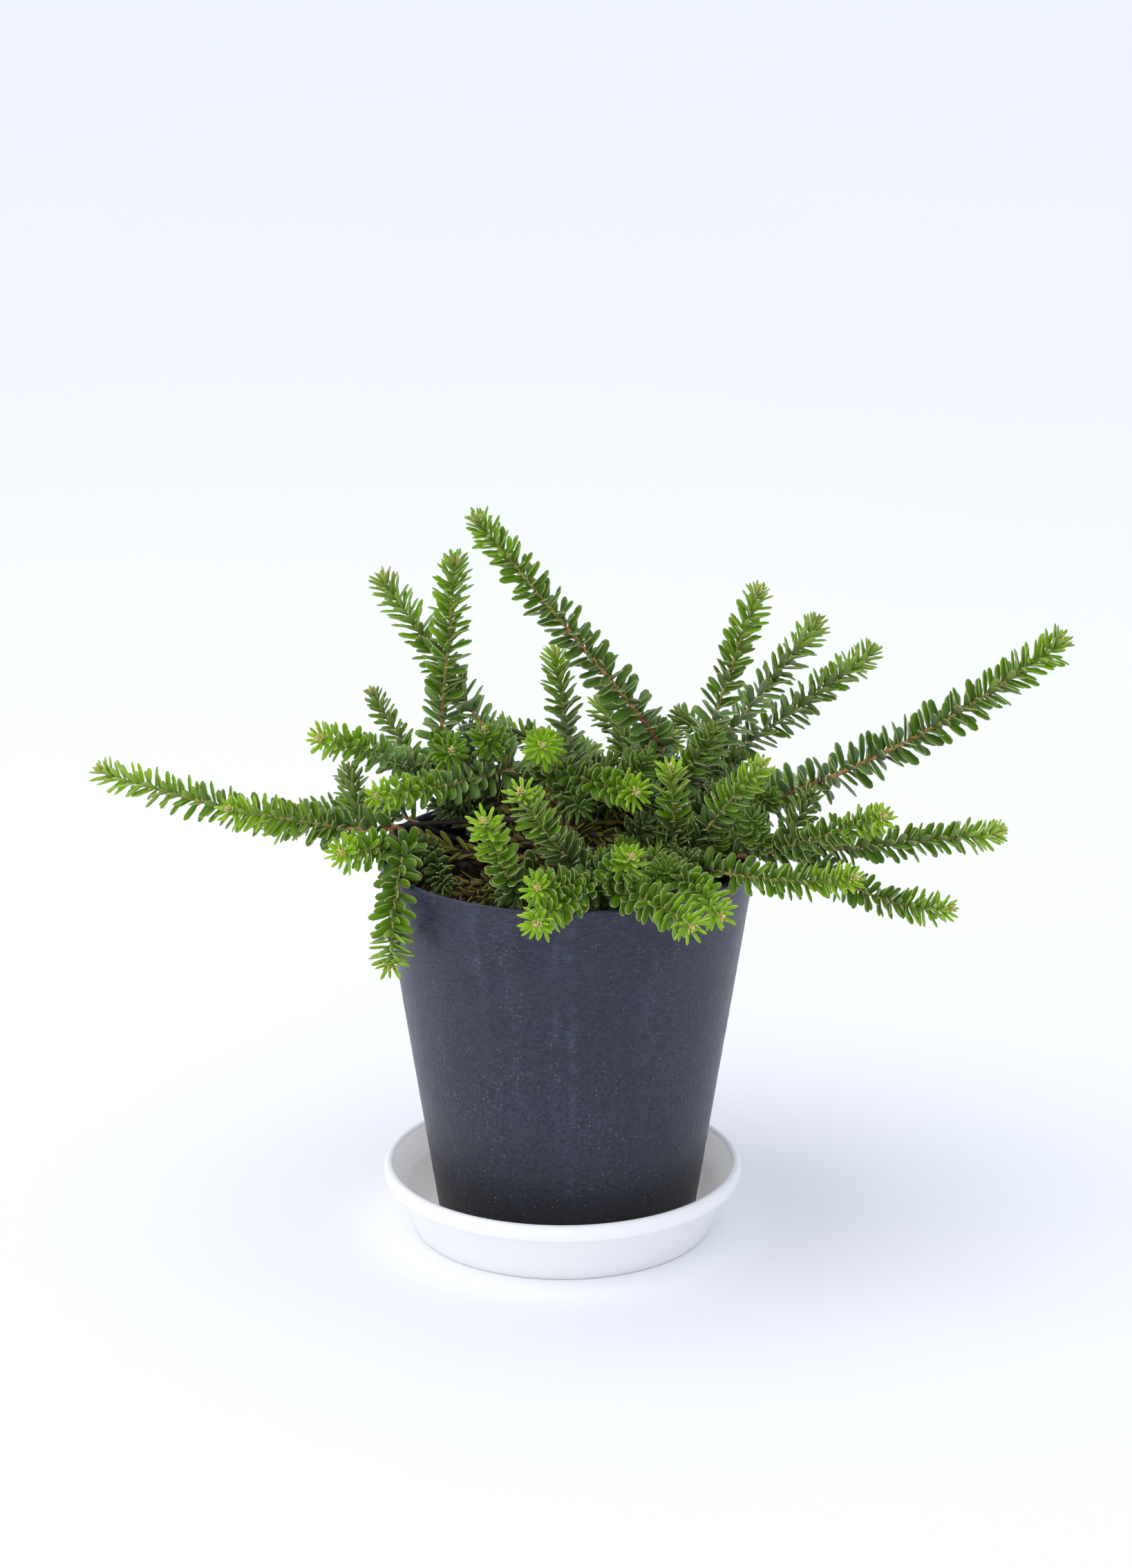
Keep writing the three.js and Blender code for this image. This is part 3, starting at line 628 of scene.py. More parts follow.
# granules: balls of a few rings with drawn corners, flattened and turned, half sunk in the bed
def makeGranules(edge, finishes):
    count, sides, rows = granule["count"], granule["sides"], len(granule["rises"])
    out = (edge - granule["margin"]) * np.sqrt(soilDraw.uniform(granule["middle"], 1, count))
    way = soilDraw.uniform(0, fullTurn, count)
    placeX, placeY = out * np.cos(way), out * np.sin(way)
    size = soilDraw.uniform(*granule["size"], count) * soilDraw.uniform(*granule["sizeSpread"], count)
    rise, around = np.radians(granule["rises"])[:, None], ringAngles(sides)
    ball = np.stack([
        np.cos(rise) * np.cos(around), np.cos(rise) * np.sin(around), np.sin(rise) * np.ones(sides),
    ], -1).reshape(-1, 3)
    ball = np.concatenate([ball, [[0, 0, -1], [0, 0, 1]]])
    corners = ball * soilDraw.uniform(*granule["cornerSpread"], (count, len(ball)))[..., None]
    corners *= (size[:, None] * soilDraw.uniform(granule["least"], granule["most"], (count, 3)))[:, None]
    spin = soilDraw.uniform(0, fullTurn, count)[:, None]
    x, y, z = np.moveaxis(corners, -1, 0)
    points = np.stack([
        x * np.cos(spin) - y * np.sin(spin) + placeX[:, None] + pot["axisX"],
        x * np.sin(spin) + y * np.cos(spin) + placeY[:, None],
        z + (soilTop(placeX, placeY) + granule["stand"] * size)[:, None],
    ], -1).reshape(-1, 3)
    quads, triangles = repeatFaces(count, len(ball), ringQuads(rows, sides), endFans(rows, sides))
    tone = soilDraw.integers(0, len(finishes), count)
    piece = putMesh("soilGranules", points * mm, quads, triangles, finishes,
                    np.repeat(tone, (rows - 1) * sides), np.repeat(tone, 2 * sides))
    settle(piece, ["soil"])


soilEdge = potRadius(soil["level"] - soil["crown"]) - pot["wall"] - soil["clear"]
soilFinishes = numberedFinishes("soil", [soil["look"], *granule["looks"]])
makeBed(soilEdge, soilFinishes[0])
makeGranules(soilEdge, soilFinishes[1:])
print("soil made")


trunk = dict(
    height=37.0, lean=3.0, radius=7.2, topRadius=4.6, flare=3.6, flareShare=0.12, sides=48, rings=70,
    steps=200, roundFrom=0.93, roundLeast=0.02,
)
limb = dict(
    levelRun=0.45, boughShare=0.45, radius=2.1, sides=14, clear=0.3, seat=2.2, sunk=3.0, lowRise=8, steps=200,
)
shoot = dict(lead=6.0, bendPlace=0.55, bendGain=1.6, steps=120)

# limb: heading and reach from the pot's axis, height over the rim, start as a share of the trunk's height;
# shoots: place on the first shoot, heading, rise, length, bow
masses = {
    "left_arm": ((177, 78, 7, 0.7), [
        (0, 171, 10, 110, -5), (0.08, -161, 15, 50, 0), (0.03, 102, 27, 33, -3)]),
    "left_low": ((-170, 55, 5, 0.3), [
        (0, -135, 10, 47, 0), (0.16, -102, -42, 54, 24), (0.05, -72, -15, 30, 2)]),
    "left_upper": ((152, 63, 19, 0.36), [(0, -134, 28, 66, 3), (0.03, 139, 47, 41, 0)]),
    "tall_left": ((146, 59, 30, 0.52), [(0, -63, 83, 82, 0), (0.04, -82, 12, 31, 0)]),
    "centre_left": ((132, 30, 23, 0.68), [
        (0, 144, 47, 97, 0), (0.04, -136, 4, 72, -2), (0.12, -108, 36, 25, 0)]),
    "centre": ((114, 20, 26, 0.85), [(0, -92, 31, 46, 2), (0.1, -52, 3, 58, -2), (0.02, -68, -8, 36, 2)]),
    "centre_back": ((87, 38, 19, 0.63), [
        (0, 150, 81, 50, 0), (0.06, 149, 20, 36, 3), (0.02, -64, -4, 38, 2)]),
    "front": ((-78, 57, 4, 0.36), [
        (0, -119, -1, 48, 5), (0.03, -50, -2, 54, 4), (0.05, -59, 38, 30, 0), (0.12, -127, 15, 38, 0),
        (0.03, -163, 53, 51, -6)]),
    "front_left": ((-109, 58, 1, 0.5), [(0, -120, 55, 43, 0)]),
    "rim_right": ((-52, 60, 5, 0.22), [(0, -62, -3, 44, 4), (0.06, -95, 25, 16, 0)]),
    "right_upright": ((-24, 44, 2, 0.58), [(0, -22, 49, 57, 0), (0.05, -110, 78, 40, 0)]),
    "tall_arch": ((31, 43, 33, 0.85), [(0, -155, 53, 130, 0)]),
    "right_tall": ((25, 53, 23, 0.6), [(0, 8, 70, 80, 0), (0.05, 41, 36, 82, -3)]),
    "right_fan": ((40, 84, 21, 0.36), [(0, 32, 26, 79, -2), (0.04, 139, 22, 30, 0)]),
    "right_arm": ((7, 79, 17, 0.41), [(0, -9, 32, 134, -10)]),
    "right_mid": ((-11, 75, 3, 0.25), [
        (0, 2, 5, 96, -2), (0.04, -38, 25, 61, 0), (0.03, -107, 50, 26, 0), (0.1, 10, 62, 26, 0),
        (0.14, -22, -13, 67, -8)]),
    "right_low": ((-34, 60, 4, 0.41), [(0, -27, 5, 67, -4)]),
    "back_centre": ((65, 66, 19, 0.47), [(0, 117, 26, 35, 0), (0.06, 72, -10, 50, 5)]),
    "back_right": ((50, 72, 4, 0.2), [(0, 35, -6, 62, 4), (0.1, 72, -24, 52, 6), (0.06, 8, 2, 42, 0)]),
    "back_mid": ((88, 70, 4, 0.16), [(0, 84, -4, 62, 4), (0.08, 118, -28, 46, 6), (0.1, 52, -26, 46, 6)]),
    "back_left": ((121, 70, 4, 0.28), [(0, 123, -3, 60, 4), (0.08, 152, -16, 46, 5), (0.1, 96, -24, 46, 6)]),
    "back_far_left": ((153, 74, 3, 0.17), [(0, 161, -10, 58, 4), (0.12, 126, -24, 46, 6)]),
}

# how a shoot ends, by mass and number of the shoot: heading and rise of its last part, and how many
# of the bright tints its tip lacks; a tip turned to the viewer opens wide, and one without a heading
# turns up a little
tipTurn = dict(run=15.0, aimRun=3, lift=0.4, open=15.0, openFrom=0.35, openRun=0.4,
               openAt=(0, 1.5, 4, 12, 22), openShare=(0, 0.5, 1, 1, 0))
darker = (None, None, 1)
tipLooks = {
    "left_arm": {1: (-118, 30, 0), 2: (102, 40, 2)},
    "left_low": {0: (-98, 24, 0), 1: (-92, 8, 0), 2: (-72, 0, 3)},
    "left_upper": {0: (-106, 30, 0), 1: (150, 60, 2)},
    "tall_left": {0: darker, 1: (-86, 42, 2)},
    "centre_left": {0: darker, 1: (-100, 22, 0), 2: (-100, 66, 2)},
    "centre": {0: (-88, 22, 0), 1: (-78, 16, 0), 2: (-80, 10, 4)},
    "centre_back": {1: (149, 40, 1), 2: (-70, 10, 4)},
    "front": {0: (-97, 14, 0), 1: (-76, 8, 0), 2: (-84, 48, 0), 3: (-92, 30, 0), 4: (-104, 44, 0)},
    "front_left": {0: (-96, 40, 0)},
    "rim_right": {0: (-62, 8, 0), 1: (-95, 40, 3)},
    "right_upright": {1: (-96, 62, 0)},
    "tall_arch": {0: darker},
    "right_tall": {0: darker, 1: darker},
    "right_fan": {0: darker, 1: (139, 40, 2)},
    "right_arm": {0: darker},
    "right_mid": {1: (-62, 30, 0), 2: (-100, 50, 3), 3: (-60, 62, 3), 4: (-34, 14, 0)},
    "right_low": {0: (-52, 26, 0)},
}
# how far the bright tints reach down on a mass or shoot, the width and length of its leaves, and their gaps
youth = {"left_arm": 2.0, "tall_left": 1.6, "centre_left": 1.5, "left_upper": 1.4, "right_low": 1.3,
         ("front", 2): 0.6, ("front", 3): 0.6, ("front", 4): 0.8}
leafSizes = {
    "left_low": (1.1, 1.06), "front": (1.08, 1.05), "rim_right": (1.08, 1.05), "front_left": (1.06, 1.04),
    "centre": (1.05, 1.04), "right_low": (0.95, 0.88), "right_mid": (0.95, 0.9), "right_arm": (1.08, 1.12),
    "left_arm": (0.9, 0.98), "left_upper": (1.0, 0.96), ("left_upper", 1): (0.88, 0.76),
    "tall_arch": (1.06, 1.04), ("tall_left", 0): (1.05, 1.08), ("centre_left", 0): (1.05, 1.05),
    ("centre_left", 1): (1.08, 0.92), ("left_low", 2): (0.85, 0.74), "filler": (1.2, 0.98),
}
leafGaps = {"right_arm": 0.94, "front": 0.9, "front_left": 0.9, "rim_right": 0.9, "left_low": 0.9,
            "right_mid": 0.85, "right_low": 0.85, "right_fan": 0.9}
# short side shoots on the limbs: first and gap along the limb, length, rise, angle off the limb,
# how many of the bright tints they lack, and the masses without them
filler = dict(first=20.0, firstSpread=(0, 4), gap=13.0, length=(13, 25), rise=(14, 60), side=(35, 80),
              lacks=(2, 4), without=("left_arm", "left_low", "front_left", "back_far_left"))
# old limbs low in the pot, covered with dried leaves: heading, reach, height over the rim, start
dryLimb = dict(
    lift=4.0, sunk=4.0, steps=80, radius=(1.6, 0.6), sides=8,
    places=[
        (-157, 63, -5, 0.1), (-143, 62, -8, 0.06), (-126, 60, -8, 0.12), (-98, 52, -7, 0.08),
        (-64, 56, -6, 0.1), (-38, 58, -7, 0.07), (0, 60, -6, 0.1), (35, 58, -7, 0.06), (76, 56, -6, 0.08),
        (110, 58, -7, 0.1),
    ],
)

trunkFoot = soil["level"] + limb["clear"]
trunkTop = trunkFoot + trunk["height"]
trunkPath = bezier([
    (0, 0, trunkFoot), (0, 0, trunkFoot + trunk["height"] / 2), (0, trunk["lean"], trunkTop),
], trunk["steps"])


# an even taper, and a flare that dies away from the foot
def trunkRadius(share):
    flare = trunk["flare"] * np.exp(-share / trunk["flareShare"])
    return trunk["radius"] + (trunk["topRadius"] - trunk["radius"]) * share + flare


# a limb leaves the trunk level, straight outwards, and bends to its end: three control points
def limbControls(heading, reach, height, start):
    outward = aim(heading, 0)
    run = lengthsAlong(trunkPath)
    lowEdge = max(0, start - limb["seat"] / trunk["height"])
    foot = pick(start, run / run[-1], trunkPath) + outward * (trunkRadius(lowEdge) + limb["clear"])
    end = outward * reach + np.array([0, 0, pot["rimHeight"] + height])
    bend = foot + outward * limb["levelRun"] * np.linalg.norm((end - foot)[:2])
    return foot, bend, end


# a shoot leaves its base along lead and bends to its own heading and rise
def shootPath(base, lead, heading, rise, length, bow):
    tip = base + aim(heading, rise) * length
    bend = base + (tip - base) * shoot["bendPlace"] + np.array([0, 0, shoot["bendGain"] * bow])
    return bezier([base, base + lead * shoot["lead"], bend, tip], shoot["steps"])


# the last run of a path swings round to a direction by a smooth step, and its tip stays in place
def turnTip(path, direction):
    run = lengthsAlong(path)
    away = run[-1] - run
    share = np.clip(away / min(tipTurn["run"], run[-1]), 0, 1)[:, None]
    keep = share**2 * (3 - 2 * share)
    return (path[-1] - direction * away[:, None]) * (1 - keep) + path * keep


# a shoot with its tip turned, as points 1 mm apart, and how its leaves differ
def finishShoot(name, number, path, stem=0.0, low=False):
    path = evenPath(path)
    heading, rise, lacks = tipLooks.get(name, {}).get(number, (None, None, 0))
    if heading is None:
        upward = unit(path[-1] - path[-1 - tipTurn["aimRun"]]) + np.array([0, 0, tipTurn["lift"]])
        direction, opened = unit(upward), 0.0
    else:
        direction = aim(heading, rise)
        opened = tipTurn["open"] * np.clip((-direction[1] - tipTurn["openFrom"]) / tipTurn["openRun"], 0, 1)
    path = evenPath(turnTip(path, direction))
    broad, long = leafSizes.get((name, number), leafSizes.get(name, (1.0, 1.0)))
    young = youth.get((name, number), youth.get(name, 1.0))
    return dict(name=name, path=path, stem=stem, low=low, lacks=lacks, broad=broad, long=long, young=young,
                opened=opened, gap=leafGaps.get(name, 1.0))


# every bough and shoot as a path of points 1 mm apart, from the pot's axis as origin
def growLimbs():
    boughs, shoots = [], []
    for name, (limbSizes, shootSizes) in masses.items():
        foot, bend, end = limbControls(*limbSizes)
        whole = bezier([foot, bend, end], limb["steps"])
        cut = int(limb["steps"] * limb["boughShare"])
        sunk = foot - aim(limbSizes[0], 0) * limb["sunk"]
        boughs.append(dict(name=name, path=evenPath(np.concatenate([[sunk], whole[:cut + 1]]))))
        leader = shootPath(end, unit(end - bend), *shootSizes[0][1:])
        stem = lengthsAlong(whole[cut:])[-1]
        path = np.concatenate([whole[cut:], leader[1:]])
        shoots.append(finishShoot(name, 0, path, stem, limbSizes[2] < limb["lowRise"]))
        run = lengthsAlong(leader)
        for number, (on, heading, rise, length, bow) in enumerate(shootSizes[1:], 1):
            base = pick(on, run / run[-1], leader)
            path = shootPath(base, aim(heading, rise), heading, rise, length, bow)
            shoots.append(finishShoot(name, number, path))
    return boughs, shoots


# the first shoot of a bough's mass, which carries the bough on
def leaderOf(bough):
    return next(grown for grown in shoots if grown["name"] == bough["name"] and grown["stem"] > 0)


# short side shoots at even gaps along each limb, to its left and right by turns
def growFillers():
    extra = []
    for bough in boughs:
        name, leader = bough["name"], leaderOf(bough)
        path = np.concatenate([bough["path"], leader["path"][1:int(leader["stem"])]])
        run = lengthsAlong(path)
        tangent = unit(np.gradient(path, axis=0))
        first = filler["first"] + twigDraw.uniform(*filler["firstSpread"])
        end = 0 if name in filler["without"] else run[-1]
        for number, at in enumerate(np.arange(first, end, filler["gap"])):
            spot = np.searchsorted(run, at)
            heading = np.degrees(np.arctan2(tangent[spot, 1], tangent[spot, 0]))
            heading += (1 if number % 2 else -1) * twigDraw.uniform(*filler["side"])
            rise, length = twigDraw.uniform(*filler["rise"]), twigDraw.uniform(*filler["length"])
            sidePath = shootPath(path[spot], aim(heading, rise), heading, rise, length, 0)
            made = finishShoot(name, None, sidePath)
            made["lacks"], made["young"] = int(twigDraw.integers(*filler["lacks"])), 1.0
            made["broad"], made["long"] = leafSizes["filler"]
            extra.append(made)
    return extra


# old limbs from the trunk, low over the soil, to the inside of the rim
def growDryLimbs():
    grown = []
    for sizes in dryLimb["places"]:
        foot, bend, end = limbControls(*sizes)
        bend[2] = soilTop(bend[0], bend[1]) + dryLimb["lift"]
        sunk = foot - aim(sizes[0], 0) * dryLimb["sunk"]
        path = np.concatenate([[sunk], bezier([foot, bend, end], dryLimb["steps"])])
        grown.append(dict(name="dry", path=evenPath(path)))
    return grown


boughs, shoots = growLimbs()
fillers = growFillers()
dried = growDryLimbs()
print("grown:", len(boughs), "boughs,", len(shoots), "shoots,", len(fillers), "short side shoots,",
      len(dried), "dry limbs")


bark = dict(
    ridge=0.05, ridgeBlur=(9, 1.2), knot=0.06, knotBlur=(3, 3), limbRelief=0.05, limbBlurs=((4, 1), (1.2, 3)),
    # the trunk's and the boughs' bark, darker than its own grey-brown as painted shade under the crown
    looks=[
        dict(color=linear(66, 50, 38), roughness=0.9, patch=0.004, depth=0.4, grain=0.0012, bump=0.7),
        dict(color=linear(50, 37, 28), roughness=0.85, patch=0.004, depth=0.35, grain=0.0012, bump=0.5),
    ],
)
twig = dict(
    fromTip=(0, 20, 60, 110, 170), radius=(0.42, 0.56, 0.74, 0.95, 1.25), sides=7, step=2,
    scar=0.09, scarBlur=(0.5, 0.7), toneEnds=(18, 60, 112), shadeReach=66.0, shadeRise=16.0,
    looks=[
        dict(color=linear(*tone), roughness=roughness, patch=0.003, depth=depth, grain=0.0008, bump=bump)
        for tone, roughness, depth, bump in (
            ((140, 148, 62), 0.6, 0.2, 0.3), ((194, 170, 96), 0.6, 0.2, 0.3),
            ((200, 150, 92), 0.65, 0.22, 0.35), ((160, 100, 72), 0.7, 0.25, 0.4),
            # painted shade: the last, near-black tone for twigs low between the limbs
            ((38, 28, 21), 0.85, 0.3, 0.4),
        )
    ],
)


# radius by distance from the tip, even between the given values
def twigRadius(fromTip):
    return np.interp(fromTip, twig["fromTip"], twig["radius"])


# trunk: ridges that run up it and wander, with knots, on a tapering flared tube rounded over at the top;
# boughs: tubes that taper to their shoots, with two sizes of relief; dry limbs: plain tapering tubes
def makeBark():
    path = evenPath(trunkPath, trunk["height"] / trunk["rings"])
    share = np.linspace(0, 1, len(path))
    over = np.clip((share - trunk["roundFrom"]) / (1 - trunk["roundFrom"]), 0, 1)
    rounded = np.sqrt(np.clip(1 - over**2, trunk["roundLeast"], 1))
    ridges = gridNoise(reliefDraw, len(path), trunk["sides"], *bark["ridgeBlur"])
    knots = gridNoise(reliefDraw, len(path), trunk["sides"], *bark["knotBlur"])
    relief = bark["ridge"] * ridges + bark["knot"] * knots
    shapes = [tubeShape(path + potAxis, trunkRadius(share) * rounded, trunk["sides"], relief)]
    trunkQuads, trunkTriangles = (len(faces) for faces in shapes[0][1:])
    for bough in boughs:
        path = bough["path"]
        thin = twigRadius(lengthsAlong(leaderOf(bough)["path"])[-1])
        radius = np.linspace(limb["radius"], thin, len(path))
        noises = [gridNoise(reliefDraw, len(path), limb["sides"], *blur) for blur in bark["limbBlurs"]]
        relief = sum(bark["limbRelief"] * noise for noise in noises)
        shapes.append(tubeShape(path + potAxis, radius, limb["sides"], relief))
    for old in dried:
        radius = np.linspace(*dryLimb["radius"], len(old["path"]))
        shapes.append(tubeShape(old["path"] + potAxis, radius, dryLimb["sides"]))
    points, quads, triangles = joinShapes(shapes)
    piece = putMesh("trunkAndBoughs", points * mm, quads, triangles, numberedFinishes("bark", bark["looks"]),
                    np.arange(len(quads)) >= trunkQuads, np.arange(len(triangles)) >= trunkTriangles)
    settle(piece, ["trunk", *boughNodes])


# twigs: thin tubes with leaf scars as relief, in four bark tones by distance from the tip,
# and a near-black tone low between the limbs as painted shade
def makeTwigs():
    shapes, quadTones, endTones = [], [], []
    sides, paintedShadeTone = twig["sides"], len(twig["looks"]) - 1
    for grown in shoots + fillers:
        path = evenPath(grown["path"], twig["step"])
        run = lengthsAlong(path)
        fromTip = run[-1] - run
        relief = twig["scar"] * gridNoise(twigDraw, len(path), sides, *twig["scarBlur"])
        shapes.append(tubeShape(path + potAxis, twigRadius(fromTip), sides, relief))
        # painted shade: twigs low inside the rim, near the axis
        isShadedLow = np.hypot(path[:, 0], path[:, 1]) < twig["shadeReach"]
        isShadedLow &= path[:, 2] < pot["rimHeight"] + twig["shadeRise"]
        tone = np.where(isShadedLow, paintedShadeTone, np.searchsorted(twig["toneEnds"], fromTip))[:-1]
        quadTones.append(np.repeat(tone, sides))
        endTones.append(np.repeat(tone[[0, -1]], sides))
    points, quads, triangles = joinShapes(shapes)
    piece = putMesh("twigs", points * mm, quads, triangles, numberedFinishes("twigBark", twig["looks"]),
                    np.concatenate(quadTones), np.concatenate(endTones))
    settle(piece, foliageNodes)


makeBark()
makeTwigs()
print("bark and twigs made")


# one leaf is rings of seven points across at four stations, with a point at the root and the tip:
# a domed upper side, margins rolled under, and a flat underside;
# finishes: 0 blade, 1 margin, 2 underside, 3 dry point
leafForm = dict(
    stations=np.array([0.08, 0.44, 0.83, 0.975]),
    outline=np.array([0.45, 0.97, 0.93, 0.42]),
    body=np.array([0.75, 1.0, 0.92, 0.45]),
    across=np.array([-1, -0.89, -0.46, 0.46, 0.89, 1, 0]),
    lift=np.array([-0.12, 0.13, 0.48, 0.48, 0.13, -0.12, -0.34]),
    sideFinish=np.array([1, 0, 0, 0, 1, 2, 2]),
    endFinish=np.array([0, 3]),
)

# how a leaf changes with its distance from the shoot's tip in mm
leafAge = dict(
    fromTip=(0, 1.2, 3, 6, 10, 20, 45, 90, 140),
    spread=(34, 44, 52, 56, 58, 60, 63, 67, 72),
    length=(4.0, 6.0, 7.8, 8.4, 8.8, 9.1, 9.5, 10.0, 10.2),
    width=(0.95, 1.25, 1.5, 1.75, 2.1, 2.6, 3.3, 4.4, 5.4),
    thick=(0.8, 0.95, 1.1, 1.2, 1.25, 1.35, 1.45, 1.5, 1.55),
    curl=(0.13, 0.11, 0.08, 0.05, 0.03, 0.0, -0.04, -0.10, -0.14),
    facing=(0.0, 0.05, 0.1, 0.22, 0.38, 0.55, 0.65, 0.7, 0.7),
)
# the light that old leaves turn to comes from above, from the viewer's side and from outside the crown
leafRule = dict(
    gapAt=(0, 6, 14, 45, 120), gap=(0.3, 0.42, 0.58, 0.8, 1.15), gapSteps=800, turn=137.5, lift=0.1,
    bareBase=0.04, outward=0.35, light=(0, -0.55, 0.75), spreadJitter=8.0, twistJitter=22.0,
    sizeJitter=0.1, slimRun=(4, 18), tintJitter=(0.8, 1.25), pieceLeaves=3000,  # most leaves in one object
)
# dried leaves on the foot of each limb and on the trunk
inner = dict(
    spacing=1.0, reach=0.86, spread=(14, 46), droop=-0.05,
    trunkSpacing=0.3, trunkReach=0.92, trunkSpread=(20, 60), trunkSunk=0.5,
    length=(6.0, 9.0), width=(1.9, 2.7), thick=0.35, curl=(-0.2, 0.1), twist=30, oliveShare=0.7,
    dryShare=0.45, dryFade=0.6, dryMost=0.95, highShare=0.6, shrink=(0.85, 0.6),
)
# limbs that have lost a share of their leaves up to a distance from the pot's axis
bare = {"left_arm": (0.97, 68), "left_low": (0.35, 75), "back_far_left": (0.9, 68)}
# scales of the buds, on tips that lack fewer than plain of the bright tints
bud = dict(scales=17, run=1.2, spread=(5, 56), length=(2.6, 3.9), width=(0.8, 1.05), thick=0.95, curl=0.1,
           plain=3)
# old leaves low between the limbs have a darker tint as painted shade, and those of the masses in the light
# at the back a paler one as painted light: distance from the pot's axis and heights over the rim
shaded = dict(reach=64.0, rise=20.0)
airy = dict(
    rise=50.0,
    masses=("tall_left", "left_upper", "centre_left", "centre_back", "back_centre", "right_tall"),
)
# room that leaves keep from the pot's wall and the soil, at three shares of their length
clearance = dict(wall=0.9, soil=0.6, shares=(0.3, 0.65, 1.0))

# tints from the tip down: each zone ends at a + b * shoot length from the tip
tintEnds = ((6, 0.03), (12, 0.05), (20, 0.09), (36, 0.16))
# margins: the pale hairy rim, made whiter than the hairs alone as a painted highlight
tints = dict(  # colours of blade, margin and underside, and the blade's roughness
    tip=((131, 177, 9), (188, 208, 106), (158, 184, 72), 0.3),
    young=((109, 155, 7), (174, 192, 106), (138, 164, 66), 0.3),
    fresh=((89, 132, 7), (172, 188, 120), (122, 144, 68), 0.3),
    green=((76, 115, 14), (168, 182, 118), (112, 132, 74), 0.3),
    deep=((74, 110, 34), (170, 184, 128), (104, 124, 78), 0.3),
    olive=((106, 104, 38), (122, 116, 52), (110, 104, 48), 0.7),
    straw=((132, 118, 52), (146, 130, 64), (132, 116, 60), 0.75),
    bud=((224, 208, 144), (236, 220, 168), (204, 184, 112), 0.6),
    # painted light: paler old leaves on masses in the light at the back; painted shade: darker old leaves low
    # inside
    paintedLit=((108, 145, 66), (184, 196, 146), (126, 146, 102), 0.3),
    shade=((54, 82, 24), (146, 161, 104), (86, 104, 60), 0.3),
)
tintNumber = {name: number for number, name in enumerate(tints)}
leafPoint = (168, 162, 100)
leafGleam = (1.0, 0.96, 0.5, 1)
matt = dict(roughness=0.75, patch=0.006, depth=0.12, grain=0.0004, bump=0.2, shine=0.3)
leafLooks = dict(
    blade=dict(matt, depth=0.2, grain=0.0005, bump=0.12, shine=0.44, down=0.01, gleam=leafGleam),
    margin=dict(matt, roughness=0.6, shine=0.4, down=0.15, gleam=leafGleam),
)


# places along a shoot, from the tip down: the count up to a distance is the sum of 1 / gap over the length,
# and interpolation turns it round
def leafPlaces(length, wider):
    distance = np.linspace(0, length, leafRule["gapSteps"])
    rate = 1 / (wider * np.interp(distance, leafRule["gapAt"], leafRule["gap"]))
    count = np.concatenate([[0], np.cumsum((rate[1:] + rate[:-1]) / 2 * np.diff(distance))])
    return np.interp(np.arange(0, count[-1]), count, distance)


# turns round the stem: each leaf stands the same angle on from the one before
def spiral(count):
    return leafDraw.uniform(0, 360) + leafRule["turn"] * np.arange(count)


# leaf directions at places on a path: spread degrees from the tangent, turned round it, lifted a little;
# the face looks to the shoot's tip, and by the share facing to the light, and is twisted about the leaf;
# the root stands off the path by offset
def leafFrames(path, fromTip, turn, spread, lift, twist, facing=0.0, offset=0.0):
    tangent, side, _ = framesAlong(path)
    run = lengthsAlong(path)
    root, tangent, side = (pick(run[-1] - fromTip, run, values) for values in (path, tangent, side))
    tangent = unit(tangent)
    side = squareTo(side, tangent)
    turn, spread, twist = (np.radians(angle)[:, None] for angle in (turn, spread, twist))
    radial = side * np.cos(turn) + np.cross(tangent, side) * np.sin(turn)
    along = unit(tangent * np.cos(spread) + np.sin(spread) * radial + np.array([0, 0, lift]))
    light = root * np.array([1, 1, 0]) / (np.hypot(root[:, :1], root[:, 1:2]) + 1)  # 1 keeps it finite
    light = unit(light * leafRule["outward"] + np.array(leafRule["light"]))
    share = np.broadcast_to(facing, len(root))[:, None]
    face = squareTo(tangent * (1 - share) + light * share, along)
    face = face * np.cos(twist) + np.cross(along, face) * np.sin(twist)
    return root + radial * np.broadcast_to(offset, len(root))[:, None], along, face


# leaves as a table: a column of values under each of these names
def rowOf(*columns):
    return dict(zip(("root", "along", "face", "length", "width", "thick", "curl", "tint"), columns))


